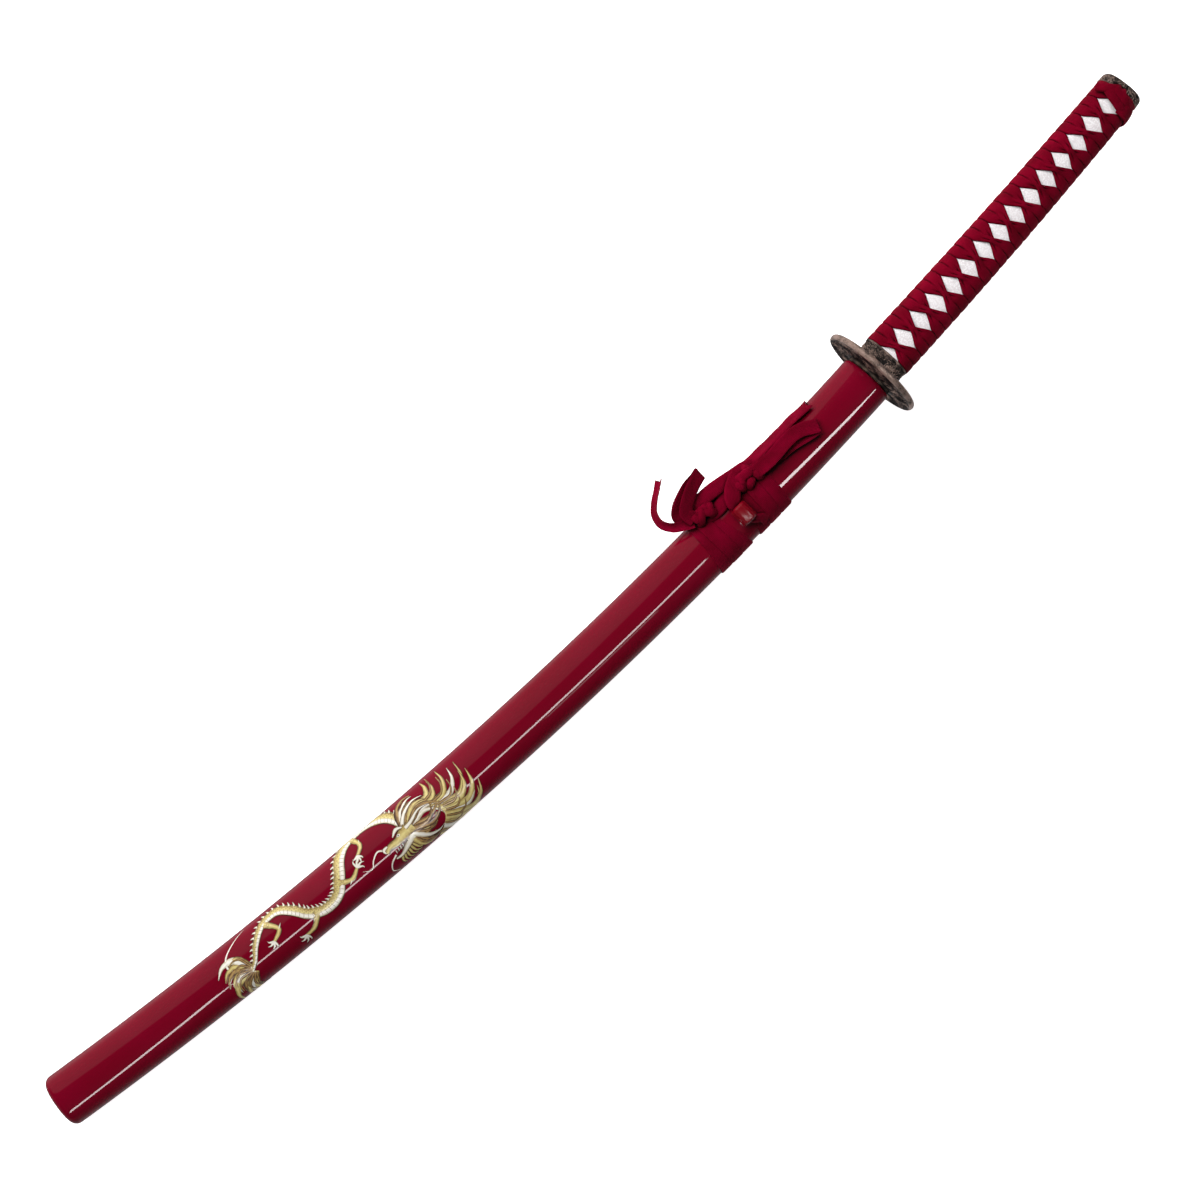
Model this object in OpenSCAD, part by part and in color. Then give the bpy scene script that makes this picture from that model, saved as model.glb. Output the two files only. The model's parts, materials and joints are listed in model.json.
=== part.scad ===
// Curved single-edged sword in a lacquered wooden scabbard, with a wrapped handle and a tied flat cord.
// Lengths are in millimetres. A place on the sword is written as [s, t, n]:
// s runs along the curve from the scabbard's mouth towards the pommel,
// t runs across it from the centre line towards the cutting edge,
// n stands out of the front side, where the cord knob is.

/* [Curve and pose] */
// Radius of the arc that the scabbard and the blade share
arc_r = 3658; // [3400:10:4000]
// Tilt that lets the guard's rim and the scabbard's tip touch the surface together
tilt = 1.73; // [1.6:0.01:1.8]

/* [Scabbard] */
// Distance along the arc from the mouth line back to the scabbard's tip
saya_len = 757; // [750:1:770]
// Width of the scabbard from spine side to edge side
saya_w = 39.4; // [39:0.2:41]
// Thickness of the scabbard from front to back
saya_t = 26; // [25:0.5:28]
// Width of the blade channel
channel_w = 31.8; // [31.6:0.1:32.4]
// Thickness of the blade channel
channel_t = 10.2; // [10:0.1:11]
// Length of the horn ring at the mouth
mouth_ring_len = 9; // [6:0.5:12]
// Length of the horn cap at the tip
end_cap_len = 9; // [6:0.5:12]

/* [Blade] */
// Distance from the mouth line back to the blade's point
blade_reach = 727; // [710:1:735]
// Width of the blade where it leaves the collar
blade_w = 28; // [27:0.2:28.4]
// Thickness of the blade at its ridge
blade_t = 6.6; // [6:0.1:6.8]
// Distance that the tang runs into the handle
tang_reach = 214; // [190:1:225]

/* [Guard and handle] */
// Guard's size along the blade's width
guard_w = 76; // [74:0.5:78]
// Guard's size across the blade's thickness
guard_t = 72; // [70:0.5:74]
// Guard's thickness at its rim
guard_len = 4.6; // [4:0.1:5]
// Distance from the mouth line to the pommel cap
handle_end = 266.5; // [264:0.5:268]
// Thickness of the wrapping braid on the handle
braid_t = 1.8; // [1.5:0.1:2]
// Radius of the bamboo peg
peg_r = 2.5; // [2:0.1:2.6]

/* [Cord] */
// Width of the flat cord
cord_w = 10; // [9:0.5:11]
// Thickness of the flat cord
cord_t = 1.6; // [1.2:0.1:1.8]

/* [Hidden] */

$fn = 96;
middle_s = -240;          // the row's X axis is parallel to the curve here
mouth_s = 2;              // face of the mouth ring
channel_end_s = -(blade_reach + 10);
seppa_front_s = 4.3;
seppa_len = 2;
guard_s = seppa_front_s + seppa_len;
seppa_back_s = guard_s + guard_len;
seppa_back_len = 1.3;
fuchi_s = seppa_back_s + seppa_back_len;
fuchi_end = 24;
fuchi_plate = 1.6;
cap_len = 7.6;
cap_dome_r = 40;
tang_start = 3.9;
peg_s = 99;
saya_power = 2.3;
grip_power = 2.5;
skin_t = 0.8;
fit = 0.15;

// Where the flat sword frame sits in the row's frame
row_x = 2.25;
row_y = -13.2;

function angle_at(s) = (s - middle_s) / arc_r * 180 / PI;

// A place on the sword as a point in the sword's own flat plane
function place(s, t, n) = [
  (arc_r + t) * sin(angle_at(s)),
  arc_r - (arc_r + t) * cos(angle_at(s)),
  n
];

// Point of a rounded oval with half axes a and b
function oval_point(a, b, angle, power) = [
  a * sign(cos(angle)) * pow(abs(cos(angle)), 2 / power),
  b * sign(sin(angle)) * pow(abs(sin(angle)), 2 / power)
];

function oval(a, b, power, count = 48, from = 0, to = 360) = [
  for (i = [0 : count - 1]) oval_point(a, b, from + (to - from) * i / count, power)
];

// Like oval, but with both ends of the stretch included
function oval_arc(a, b, power, count, from, to) = [
  for (i = [0 : count]) oval_point(a, b, from + (to - from) * i / count, power)
];

function reversed(list) = [for (i = [len(list) - 1 : -1 : 0]) list[i]];

// The handle bends away from the scabbard's arc towards the edge side and grows slimmer
function grip_t(s) = 0.0144 * (s - 12) + 0.00004 * pow(s - 12, 2);
function grip_a(s) = 18.75 - 0.0042 * (s - 25) - 0.000026 * pow(s - 25, 2);
function grip_b(s) = 13.6 - 0.006 * (s - 25);

// Height at which the guard's lowest point touches the surface
row_z = guard_t / 2 * cos(tilt) - place(guard_s, 0, 0)[0] * sin(tilt);

// Puts the finished piece down on its back, resting on the guard and the tip
module lay() {
  translate([row_x, row_y, row_z]) rotate([0, -tilt, 0]) children();
}

// Sweeps a flat [t, n] outline along the scabbard's arc
module along_arc(from_s, to_s) {
  translate([0, arc_r, 0])
    rotate([0, 0, angle_at(from_s) - 90])
      rotate_extrude(angle = angle_at(to_s) - angle_at(from_s), $fn = 720)
        translate([arc_r, 0]) children();
}

// Local frame at s: X along the sword, Y towards the spine side, Z out of the front
module at(s, t = 0) {
  translate(place(s, t, 0)) rotate([0, 0, angle_at(s)]) children();
}

// Extrudes a flat [t, n] outline along the sword at s, from offset forwards
module slab(s, length, t = 0, offset = 0) {
  at(s, t) translate([offset, 0, 0])
    rotate([90, 0, 90]) mirror([1, 0]) linear_extrude(length) children();
}

// A plate of the stack around the guard, all square to the blade where the stack starts
module plate(from_s, length) {
  slab(seppa_front_s, length, 0, from_s - seppa_front_s) children();
}

// Closed solid through rings of points, all of the same count
module skin(rings) {
  count = len(rings[0]);
  last = len(rings) - 1;
  polyhedron(
    points = [for (ring = rings) each ring],
    faces = [
      [for (j = [count - 1 : -1 : 0]) j],
      [for (j = [0 : count - 1]) last * count + j],
      for (i = [0 : last - 1])
        for (j = [0 : count - 1])
          let (a = i * count + j, b = i * count + (j + 1) % count)
            each [[a, b + count, a + count], [a, b, b + count]]
    ]
  );
}

// Closed wall between outer rings and inner rings, open at both ends
module wall(outer, inner) {
  count = len(outer[0]);
  last = len(outer) - 1;
  shift = len(outer) * count;
  polyhedron(
    points = [for (ring = outer) each ring, for (ring = inner) each ring],
    faces = [
      for (i = [0 : last - 1])
        for (j = [0 : count - 1])
          let (a = i * count + j, b = i * count + (j + 1) % count)
            each [
              [a, b + count, a + count],
              [a, b, b + count],
              [a + shift, a + count + shift, b + count + shift],
              [a + shift, b + count + shift, b + shift]
            ],
      for (j = [0 : count - 1])
        let (a = j, b = (j + 1) % count)
          each [[a, b + shift, b], [a, a + shift, b + shift]],
      for (j = [0 : count - 1])
        let (a = last * count + j, b = last * count + (j + 1) % count)
          each [[a, b, b + shift], [a, b + shift, a + shift]]
    ]
  );
}

// One ring of an outline given as [t, n] points, at s and moved across by shift
function ring_at(s, outline, shift = 0) = [for (p = outline) place(s, p[0] + shift, p[1])];

function steps(from, to, count) = [for (i = [0 : count]) from + (to - from) * i / count];

/* Scabbard */

function channel_half(side) = [
  [-channel_w / 2, 0],
  [-channel_w / 2 + 1.5, side * channel_t / 2],
  [channel_w / 2 - 9, side * channel_t / 2],
  [channel_w / 2, 0]
];

module saya_half(side) {
  arch = oval_arc(saya_w / 2, side * saya_t / 2, saya_power, 24, 0, 180);
  lay() {
    along_arc(channel_end_s, mouth_s - mouth_ring_len)
      polygon(concat(arch, channel_half(side)));
    along_arc(-saya_len + end_cap_len, channel_end_s)
      polygon(arch);
  }
}

module saya_front_half() {
  color("firebrick") saya_half(1);
}

module saya_back_half() {
  color("firebrick") saya_half(-1);
}

module koiguchi_ring() {
  color("darkred") lay()
    along_arc(mouth_s - mouth_ring_len, mouth_s)
      difference() {
        polygon(oval(saya_w / 2, saya_t / 2, saya_power));
        polygon(concat(channel_half(1), reversed([
          for (p = channel_half(-1)) if (abs(p[1]) > 0) p
        ])));
      }
}

module kojiri_cap() {
  color("darkred") lay()
    along_arc(-saya_len, -saya_len + end_cap_len)
      polygon(oval(saya_w / 2, saya_t / 2, saya_power));
}

// Knob on the front that the cord runs through
knob_s = -126;
knob_t = 1.5;
knob_len = 15;
knob_w = 14.5;
knob_rise = 11.5;
knob_hole_r = 3.6;
knob_hole_n = 5.2;       // height of the hole above the scabbard's face

module kurikata() {
  color("firebrick") lay()
    difference() {
      intersection() {
        at(knob_s, knob_t) linear_extrude(saya_t / 2 + knob_rise)
          polygon(oval(knob_len / 2, knob_w / 2, 2.4, 40));
        at(knob_s, knob_t) translate([0, 0, saya_t / 2 + knob_rise - 11])
          rotate([90, 0, 0]) cylinder(r = 11, h = 40, center = true);
      }
      along_arc(knob_s - 20, knob_s + 20)
        polygon(oval(saya_w / 2, saya_t / 2, saya_power));
      at(knob_s, knob_t) translate([0, 0, saya_t / 2 + knob_hole_n])
        rotate([90, 0, 0]) cylinder(r = knob_hole_r, h = 40, center = true);
    }
}

/* Cord: a run of turns is a band, a tangle is a knot, and each strand or loose end is a flat tube */

wrap_t = 1.9;
// Outline of the flat cord in half widths and half thicknesses, eight points around
cord_outline = [
  [1, 0], [0.7, 0.8], [0, 1], [-0.7, 0.8], [-1, 0], [-0.7, -0.8], [0, -1], [0.7, -0.8]
];

function unit(v) = v / norm(v);

// Point between b and c on the smooth curve through a, b, c and d
function smooth(a, b, c, d, f) =
  b + 0.5 * f * (c - a + f * (2 * a - 5 * b + 4 * c - d + f * (3 * (b - c) + d - a)));

// Route with a point added halfway along each stretch
function refined(route) = let (last = len(route) - 1) [
  for (i = [0 : last - 1])
    each [
      route[i],
      smooth(route[max(i - 1, 0)], route[i], route[i + 1], route[min(i + 2, last)], 0.5)
    ],
  route[last]
];

// Width directions carried along the route without twisting
function carried(tangents) = [
  for (
    i = 0, w = unit(cross(tangents[0], [0, 0, 1]));
    i < len(tangents);
    i = i + 1, w = i < len(tangents) ? unit(w - (w * tangents[i]) * tangents[i]) : w
  ) w
];

// Flat tube along a route of [s, t, n, roll] points
module flat_cord(route, width = cord_w, thickness = cord_t) {
  fine = refined(route);
  last = len(fine) - 1;
  points = [for (p = fine) place(p[0], p[1], p[2])];
  tangents = [for (i = [0 : last]) unit(points[min(i + 1, last)] - points[max(i - 1, 0)])];
  widths = carried(tangents);
  skin([
    for (i = [0 : last])
      let (
        normal = cross(widths[i], tangents[i]),
        wide = widths[i] * cos(fine[i][3]) + normal * sin(fine[i][3]),
        thin = normal * cos(fine[i][3]) - widths[i] * sin(fine[i][3])
      )
        [for (q = cord_outline) points[i] + wide * q[0] * width / 2 + thin * q[1] * thickness / 2]
  ]);
}

module sageo_upper_wrap() {
  color("crimson") lay() band(-118, -94.5);
}

module sageo_lower_wrap() {
  color("crimson") lay() band(-164.5, -134.5);
}

module band(from_s, to_s) {
  along_arc(from_s, to_s)
    difference() {
      polygon(oval(saya_w / 2 + wrap_t, saya_t / 2 + wrap_t, saya_power));
      polygon(oval(saya_w / 2, saya_t / 2, saya_power));
    }
}

// The strand that passes through the knob, in at the spine side and out at the edge side
module sageo_bridge() {
  color("crimson") lay()
    at(knob_s, knob_t) translate([0, 0, saya_t / 2 + knob_hole_n])
      rotate([90, 0, 0]) cylinder(r = knob_hole_r - 0.1, h = 22, center = true);
}

cross_route = [[-110, -20, 15, 0], [-116, -17.5, 17, 0], [-122, -14, 18.2, 0], [-127.5, -8.5, 18.2, 0]];
spine_route = [
  [-101, -21, 11, 0], [-110, -23, 12, 0], [-119, -25, 12.5, 0], [-128, -26.5, 12.5, 0],
  [-137, -27.5, 12.5, 0], [-144, -26.5, 12.5, 0], [-150, -23.5, 12.5, 0]
];
spine_w = 9;
spine_t = 5;

module sageo_cross_strand() {
  color("crimson") lay() flat_cord(cross_route);
}

module sageo_spine_strand() {
  color("crimson") lay() flat_cord(spine_route, spine_w, spine_t);
}

// A knot is a row of round lumps that sits on the bands
module knot(lumps) {
  difference() {
    union()
      for (lump = lumps)
        translate(place(lump[0], lump[1], lump[2])) sphere(r = lump[3]);
    along_arc(-170, -90)
      polygon(oval(saya_w / 2 + wrap_t, saya_t / 2 + wrap_t, saya_power));
  }
}

right_knot_lumps = [
  [-114, -14, 15, 5], [-107, -13, 16, 5], [-101, -13, 14.5, 4.5], [-105, -18.5, 13, 4.5]
];
left_knot_lumps = [
  [-140, -17, 15, 4.6], [-146.5, -18, 15, 5], [-153, -18.5, 14, 4.7]
];

module sageo_right_knot() {
  color("crimson") lay() knot(right_knot_lumps);
}

module sageo_left_knot() {
  color("crimson") lay() knot(left_knot_lumps);
}

// Routes of the loose ends, each point as [s, t, n, roll in degrees]
right_bow_route = [
  [-101, -13, 17.5, 0], [-89, -11.5, 19, 6], [-80, -11.5, 19.5, 8], [-71, -12, 19.5, 8],
  [-63, -11.5, 19.2, 6], [-56, -9.2, 18.8, 3], [-50.5, -5.6, 18.5, 0], [-46.8, -3, 17, 12],
  [-49.5, -2.9, 15.3, 32], [-56, -4.2, 14.8, 30], [-63, -6, 14.6, 28], [-71, -7.8, 14.4, 26],
  [-80, -9, 14.3, 23], [-89, -11, 14.7, 20], [-96, -13, 14.5, 16]
];
right_tail_route = [
  [-105, -19, 14.5, 0], [-98, -19.8, 13, 30], [-90, -20.2, 11.5, 45], [-80, -20.2, 10.5, 50],
  [-70, -20, 10, 50], [-60, -19.6, 10, 50], [-50, -19.2, 10, 50], [-40, -18.8, 10, 50]
];
left_bow_route = [
  [-153, -20, 16.5, 0], [-154, -27, 19, 0], [-148, -32, 21, 0], [-140, -36, 22, 0],
  [-132, -38.5, 21, 0], [-127.5, -39.5, 18.5, 0], [-131, -40, 16, 0], [-139, -39.5, 14.5, 0],
  [-148, -37, 13.5, 0], [-155.5, -33.5, 12, 0], [-159, -28, 11, 0], [-154.5, -21, 12.5, 0]
];
left_tail_route = [
  [-154.5, -19, 15, 0], [-161, -22.5, 14, 10], [-167, -27, 12, 20], [-170.5, -34, 9, 20],
  [-168.5, -42, 5, 15], [-162, -48, 1, 10], [-155, -52.5, -2.5, 10], [-149.5, -56, -5, 10]
];
left_tail_w = 8;

module sageo_right_bow() {
  color("crimson") lay() flat_cord(right_bow_route);
}

module sageo_right_tail() {
  color("crimson") lay() flat_cord(right_tail_route);
}

module sageo_left_bow() {
  color("crimson") lay() flat_cord(left_bow_route);
}

module sageo_left_tail() {
  color("crimson") lay() flat_cord(left_tail_route, left_tail_w);
}

/* Blade */

point_len = 36;           // from the point back to the end of the full section
point_s = -blade_reach;
full_end_s = point_s + point_len;

// Share of the way from the collar to the end of the full section
function taper(s) = min(1, max(0, s / full_end_s));

// Share of the section left inside the point, 1 where the point begins
function narrowing(s) = s >= full_end_s ? 1 : sqrt(max(0, (s - point_s) / point_len));

function spine_line(s) = -blade_w / 2 + 1.5 * taper(s);
function edge_line(s) = spine_line(s) + (blade_w - 7 * taper(s)) * max(narrowing(s), 0.03);
function blade_half(s) = (blade_t / 2 - 0.9 * taper(s)) * max(narrowing(s), 0.05);
function ridge_line(s) = spine_line(s) + 0.32 * (edge_line(s) - spine_line(s));

function back_edge(s) = spine_line(s) + narrowing(s);

// Six-sided section: cutting edge, ridge, back edge and spine
function blade_outline(s, grow = 0) = [
  [edge_line(s) + 1.6 * grow, 0],
  [ridge_line(s), blade_half(s) + grow],
  [back_edge(s), 0.82 * blade_half(s) + grow],
  [spine_line(s) - grow, 0],
  [back_edge(s), -0.82 * blade_half(s) - grow],
  [ridge_line(s), -blade_half(s) - grow]
];

tang_w = 22.5;
tang_end_w = 14;
tang_t = 6.2;
tang_end_t = 4;

function tang_share(s) = (s - tang_start) / (tang_reach - tang_start);

// The tang is a flat bar with a narrow spine side and edge side
function tang_outline(s, grow = 0) = let (
  a = tang_w / 2 + (tang_end_w - tang_w) / 2 * tang_share(s) + grow,
  b = tang_t / 2 + (tang_end_t - tang_t) / 2 * tang_share(s) + grow
) [[a, 0], [a - 2.5, b], [-a + 1.5, b], [-a, 0], [-a + 1.5, -b], [a - 2.5, -b]];

function tang_shift(s) = 0.8 * max(0, grip_t(s));

module tang_void() {
  skin([
    for (s = steps(tang_start - 0.3, tang_reach + 1, 14))
      ring_at(s, tang_outline(s, fit), tang_shift(s))
  ]);
}

module peg_bore(r) {
  translate(place(peg_s, grip_t(peg_s), 0)) cylinder(r = r, h = 60, center = true);
}

module blade() {
  color("gainsboro") lay()
    difference() {
      skin(concat(
        [for (s = steps(point_s, full_end_s, 8)) ring_at(s, blade_outline(s))],
        [for (s = steps(full_end_s + 20, tang_start, 34)) ring_at(s, blade_outline(s))],
        [for (s = steps(tang_start, tang_reach, 14)) ring_at(s, tang_outline(s), tang_shift(s))]
      ));
      peg_bore(peg_r + 0.1);
    }
}

// Wedge-shaped copper collar that grips the scabbard's mouth
habaki_len = 28;
habaki_base_s = seppa_front_s - 0.1;

module habaki() {
  front_s = habaki_base_s - habaki_len;
  sections = [[front_s, 14.75, 3.9], [habaki_base_s, 15.55, 4.75]];
  outer = [for (q = sections) ring_at(q[0], [
    [q[1], 0], [-4, q[2]], [-q[1] + 1.5, q[2]], [-q[1], 0], [-q[1] + 1.5, -q[2]], [-4, -q[2]]
  ])];
  inner = [for (q = sections) ring_at(q[0], blade_outline(min(q[0], 0), 0.08))];
  color("peru") lay() wall(outer, inner);
}

/* Guard, spacers and collar */

module tang_slot(s) {
  polygon(tang_outline(s, fit));
}

module spacer(s, length) {
  lay() plate(s, length)
    difference() {
      polygon(oval(18.2, 11.6, 2.2));
      tang_slot(s);
    }
}

module seppa_front() {
  color("darkgoldenrod") spacer(seppa_front_s, seppa_len);
}

module seppa_back() {
  color("darkgoldenrod") spacer(seppa_back_s, seppa_back_len);
}

rim_w = 4;
recess = 0.8;

module guard_recess() {
  difference() {
    polygon(oval(guard_w / 2 - rim_w, guard_t / 2 - rim_w, 2, 72));
    polygon(oval(21, 14, 2.2));
  }
}

module tsuba() {
  color("dimgray") lay()
    difference() {
      plate(guard_s, guard_len) difference() {
        polygon(oval(guard_w / 2, guard_t / 2, 2, 72));
        tang_slot(guard_s);
      }
      plate(guard_s - 1, 1 + recess) guard_recess();
      plate(guard_s + guard_len - recess, 1 + recess) guard_recess();
    }
}

module fuchi() {
  color("dimgray") lay()
    difference() {
      plate(fuchi_s, fuchi_end - fuchi_s) polygon(oval(18, 13, grip_power));
      plate(fuchi_s + fuchi_plate, fuchi_end) polygon(oval(16.6, 11.6, grip_power));
      plate(fuchi_s - 1, 10) tang_slot(fuchi_s);
    }
}

/* Handle */

core_s = fuchi_s + fuchi_plate + 0.1;
skin_s = fuchi_end + 0.2;

// Half axes of the handle's wooden core at s
function core_a(s) = s < skin_s ? 16.2 : grip_a(s) - braid_t - skin_t - 0.1;
function core_b(s) = s < skin_s ? 11.3 : grip_b(s) - braid_t - skin_t - 0.1;

core_stations = concat([core_s, skin_s - 0.05], steps(skin_s, handle_end, 18));
grip_stations = steps(skin_s, handle_end, 18);

// Half of the core, from the angle where its outline starts
module core_half(from) {
  skin([
    for (s = core_stations)
      ring_at(s, oval_arc(core_a(s), core_b(s), grip_power, 14, from, from + 180), grip_t(s))
  ]);
}

module tsuka_core_front() {
  color("burlywood") lay()
    difference() {
      core_half(0);
      tang_void();
      translate(place(peg_s, grip_t(peg_s), -30)) cylinder(r = peg_r + 0.1, h = 30 + peg_front_n);
    }
}

module tsuka_core_back() {
  color("burlywood") lay()
    difference() {
      core_half(180);
      tang_void();
      peg_bore(peg_r + 0.1);
    }
}

// White ray skin laid over a broad side of the core, from the angle where that side starts
module ray_skin(from) {
  skin([
    for (s = grip_stations)
      let (a = core_a(s) + 0.02, b = core_b(s) + 0.02)
        ring_at(s, concat(
          oval_arc(a + skin_t, b + skin_t, grip_power, 14, from + 20, from + 160),
          reversed(oval_arc(a, b, grip_power, 14, from + 20, from + 160))
        ), grip_t(s))
  ]);
}

module ray_skin_front() {
  color("white") lay() ray_skin(0);
}

module ray_skin_back() {
  color("white") lay()
    difference() {
      ray_skin(180);
      peg_bore(peg_r + 0.3);
    }
}

module tsuka_wrap() {
  function ring(s, less) =
    ring_at(s, oval(grip_a(s) - less, grip_b(s) - less, grip_power, 32), grip_t(s));
  color("crimson") lay()
    wall([for (s = grip_stations) ring(s, 0)], [for (s = grip_stations) ring(s, braid_t)]);
}

// Bamboo peg that holds the tang in the handle, pushed in from the back
peg_front_n = 7;
peg_back_n = -11;

module mekugi() {
  color("tan") lay()
    translate(place(peg_s, grip_t(peg_s), peg_back_n))
      cylinder(r = peg_r, h = peg_front_n - peg_back_n - 0.1);
}

end_knot_s = 259.6;

module wrap_end_knot() {
  color("crimson") lay()
    difference() {
      union()
        for (lump = [[-1.5, 1, 3.8], [2, 5, 4.2], [0.5, 9.5, 3.8]])
          translate(place(end_knot_s + lump[0], lump[1], grip_b(end_knot_s))) sphere(r = lump[2]);
      slab(end_knot_s - 12, 24, grip_t(end_knot_s))
        polygon(oval(grip_a(end_knot_s) + 0.2, grip_b(end_knot_s) + 0.1, grip_power));
    }
}

module kashira() {
  cap_t = grip_t(handle_end);
  color("dimgray") lay()
    intersection() {
      slab(handle_end + 0.1, cap_len, cap_t)
        polygon(oval(grip_a(handle_end) + 0.2, grip_b(handle_end) + 0.2, grip_power));
      at(handle_end + cap_len - cap_dome_r, cap_t) sphere(r = cap_dome_r);
    }
}

saya_front_half();
saya_back_half();
koiguchi_ring();
kojiri_cap();
kurikata();
sageo_upper_wrap();
sageo_lower_wrap();
sageo_bridge();
sageo_cross_strand();
sageo_spine_strand();
sageo_right_knot();
sageo_left_knot();
sageo_right_bow();
sageo_right_tail();
sageo_left_bow();
sageo_left_tail();
blade();
habaki();
seppa_front();
tsuba();
seppa_back();
fuchi();
tsuka_core_front();
tsuka_core_back();
ray_skin_front();
ray_skin_back();
tsuka_wrap();
wrap_end_knot();
kashira();
mekugi();
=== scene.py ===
"""Looks of a sheathed curved sword: lacquered scabbard, painted dragon, tied cord and wrapped handle.

A place on the sword is [s, t, n] in millimetres: s along the curve from the scabbard's mouth towards the
pommel, t across it towards the cutting edge, and n out of the front. place() turns it into the row frame.
"""
import json
import math
import random

import bmesh
import bpy
import numpy as np
from mathutils import Matrix, Vector, noise


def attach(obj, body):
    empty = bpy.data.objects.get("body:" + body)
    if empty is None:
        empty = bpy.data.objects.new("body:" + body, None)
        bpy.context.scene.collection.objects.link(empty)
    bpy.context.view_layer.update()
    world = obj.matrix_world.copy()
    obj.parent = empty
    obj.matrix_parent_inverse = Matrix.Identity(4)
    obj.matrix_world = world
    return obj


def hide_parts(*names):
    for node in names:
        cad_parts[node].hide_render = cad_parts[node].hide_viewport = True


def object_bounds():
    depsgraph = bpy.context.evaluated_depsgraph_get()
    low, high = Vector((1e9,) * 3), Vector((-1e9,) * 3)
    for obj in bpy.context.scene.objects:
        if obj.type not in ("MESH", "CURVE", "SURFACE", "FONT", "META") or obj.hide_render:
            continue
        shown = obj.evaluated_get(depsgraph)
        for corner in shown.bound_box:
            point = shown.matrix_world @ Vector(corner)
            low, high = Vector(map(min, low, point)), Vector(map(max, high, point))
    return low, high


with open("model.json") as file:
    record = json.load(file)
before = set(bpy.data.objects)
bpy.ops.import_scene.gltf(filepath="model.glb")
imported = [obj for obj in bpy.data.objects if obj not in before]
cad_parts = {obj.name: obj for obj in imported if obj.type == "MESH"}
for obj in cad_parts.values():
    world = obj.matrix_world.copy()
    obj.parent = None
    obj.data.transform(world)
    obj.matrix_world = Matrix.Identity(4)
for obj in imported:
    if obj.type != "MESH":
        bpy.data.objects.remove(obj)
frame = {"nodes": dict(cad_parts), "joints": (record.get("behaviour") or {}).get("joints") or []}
cad_low, cad_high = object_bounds()

MM = 0.001
FULL_TURN = 2 * math.pi
QUARTER_TURN = math.pi / 2
OUTLINE_STEPS = 1440
WELD_MM = 0.002
SCABBARD = "scabbard"
SWORD = "sword"

# The curve that the scabbard and the blade share; the joint's axis stands at its centre
DRAW = frame["joints"][0]
CENTRE = np.array(DRAW["pos_m"], float)
N_AXIS = np.array(DRAW["axis"], float) / np.linalg.norm(DRAW["axis"])
V_AXIS = np.array([0.0, 1.0, 0.0])
U_AXIS = np.cross(V_AXIS, N_AXIS)
ARC_R = 3658.0
MIDDLE_S = -240.0

# Sizes in millimetres, from the CAD model; only the mouth reaches 1.8 mm further, to close its gap
TIP_S = -757.0
MOUTH_S = 3.8
SAYA_A, SAYA_B, SAYA_POWER = 19.7, 13.0, 2.3
CHANNEL_END_S = -737.0
CHANNEL = [(-15.9, 0), (-14.4, 5.1), (6.9, 5.1), (15.9, 0), (6.9, -5.1), (-14.4, -5.1)]
STACK_S = 4.3
GUARD_X, GUARD_LEN = 2.0, 4.6
GUARD_A, GUARD_B = 38.0, 36.0
SPACER_A, SPACER_B, SPACER_POWER = 18.2, 11.6, 2.2
FUCHI_X, FUCHI_END_X = 7.9, 19.7
FUCHI_A, FUCHI_B = 18.0, 13.0
GRIP_POWER = 2.5
WRAP_START_S = 24.1
WRAP_END_S = 266.4
CAP_S, CAP_LEN = 266.6, 7.6
BRAID_DEPTH = 1.85


def grip_t(s):
    """Shift of the handle's centre line towards the edge side."""
    return 0.0144 * (s - 12) + 0.00004 * (s - 12) ** 2


def grip_a(s):
    return 18.75 - 0.0042 * (s - 25) - 0.000026 * (s - 25) ** 2


def grip_b(s):
    return 13.6 - 0.006 * (s - 25)


def place(s, t, n):
    """Points of the row frame, in metres, for places on the sword in millimetres."""
    s, t, n = np.broadcast_arrays(np.asarray(s, float), np.asarray(t, float), np.asarray(n, float))
    angle = (s - MIDDLE_S) / ARC_R
    radius = MM * (ARC_R + t)
    return (
        CENTRE
        + (radius * np.sin(angle))[..., None] * U_AXIS
        - (radius * np.cos(angle))[..., None] * V_AXIS
        + (MM * n)[..., None] * N_AXIS
    )


class Section:
    """Rounded oval outline measured by its arc length, from the front's middle towards the edge side."""

    def __init__(self, a, b, power):
        self.a, self.b, self.power = a, b, power
        angle = np.linspace(0, FULL_TURN, OUTLINE_STEPS + 1)
        self.x = a * np.sign(np.sin(angle)) * np.abs(np.sin(angle)) ** (2 / power)
        self.y = b * np.sign(np.cos(angle)) * np.abs(np.cos(angle)) ** (2 / power)
        step = np.hypot(np.diff(self.x), np.diff(self.y))
        self.u = np.concatenate([[0], np.cumsum(step)])
        self.length = self.u[-1]

    def at(self, u, a=None, b=None):
        """Points and outward normals at arc length u, on an outline stretched to half axes a and b."""
        a = self.a if a is None else a
        b = self.b if b is None else b
        u = np.mod(u, self.length)
        x = np.interp(u, self.u, self.x) / self.a
        y = np.interp(u, self.u, self.y) / self.b
        nx = np.sign(x) * np.abs(x) ** (self.power - 1) / a
        ny = np.sign(y) * np.abs(y) ** (self.power - 1) / b
        size = np.hypot(nx, ny)
        return x * a, y * b, nx / size, ny / size


SAYA = Section(SAYA_A, SAYA_B, SAYA_POWER)
GRIP = Section(17.5, 13.0, GRIP_POWER)


def on_saya(s, u, height):
    """Points at a height above the scabbard's surface."""
    t, n, nt, nn = SAYA.at(u)
    return place(s, t + height * nt, n + height * nn)


def on_grip(s, u, height):
    """Points at a height above the wrapped handle's nominal surface, with u on the reference outline."""
    t, n, nt, nn = GRIP.at(u, grip_a(s), grip_b(s))
    return place(s, grip_t(s) + t + height * nt, n + height * nn)


# ---- mesh helpers ----


def add_object(name, data):
    obj = bpy.data.objects.new(name, data)
    bpy.context.scene.collection.objects.link(obj)
    return obj


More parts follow.
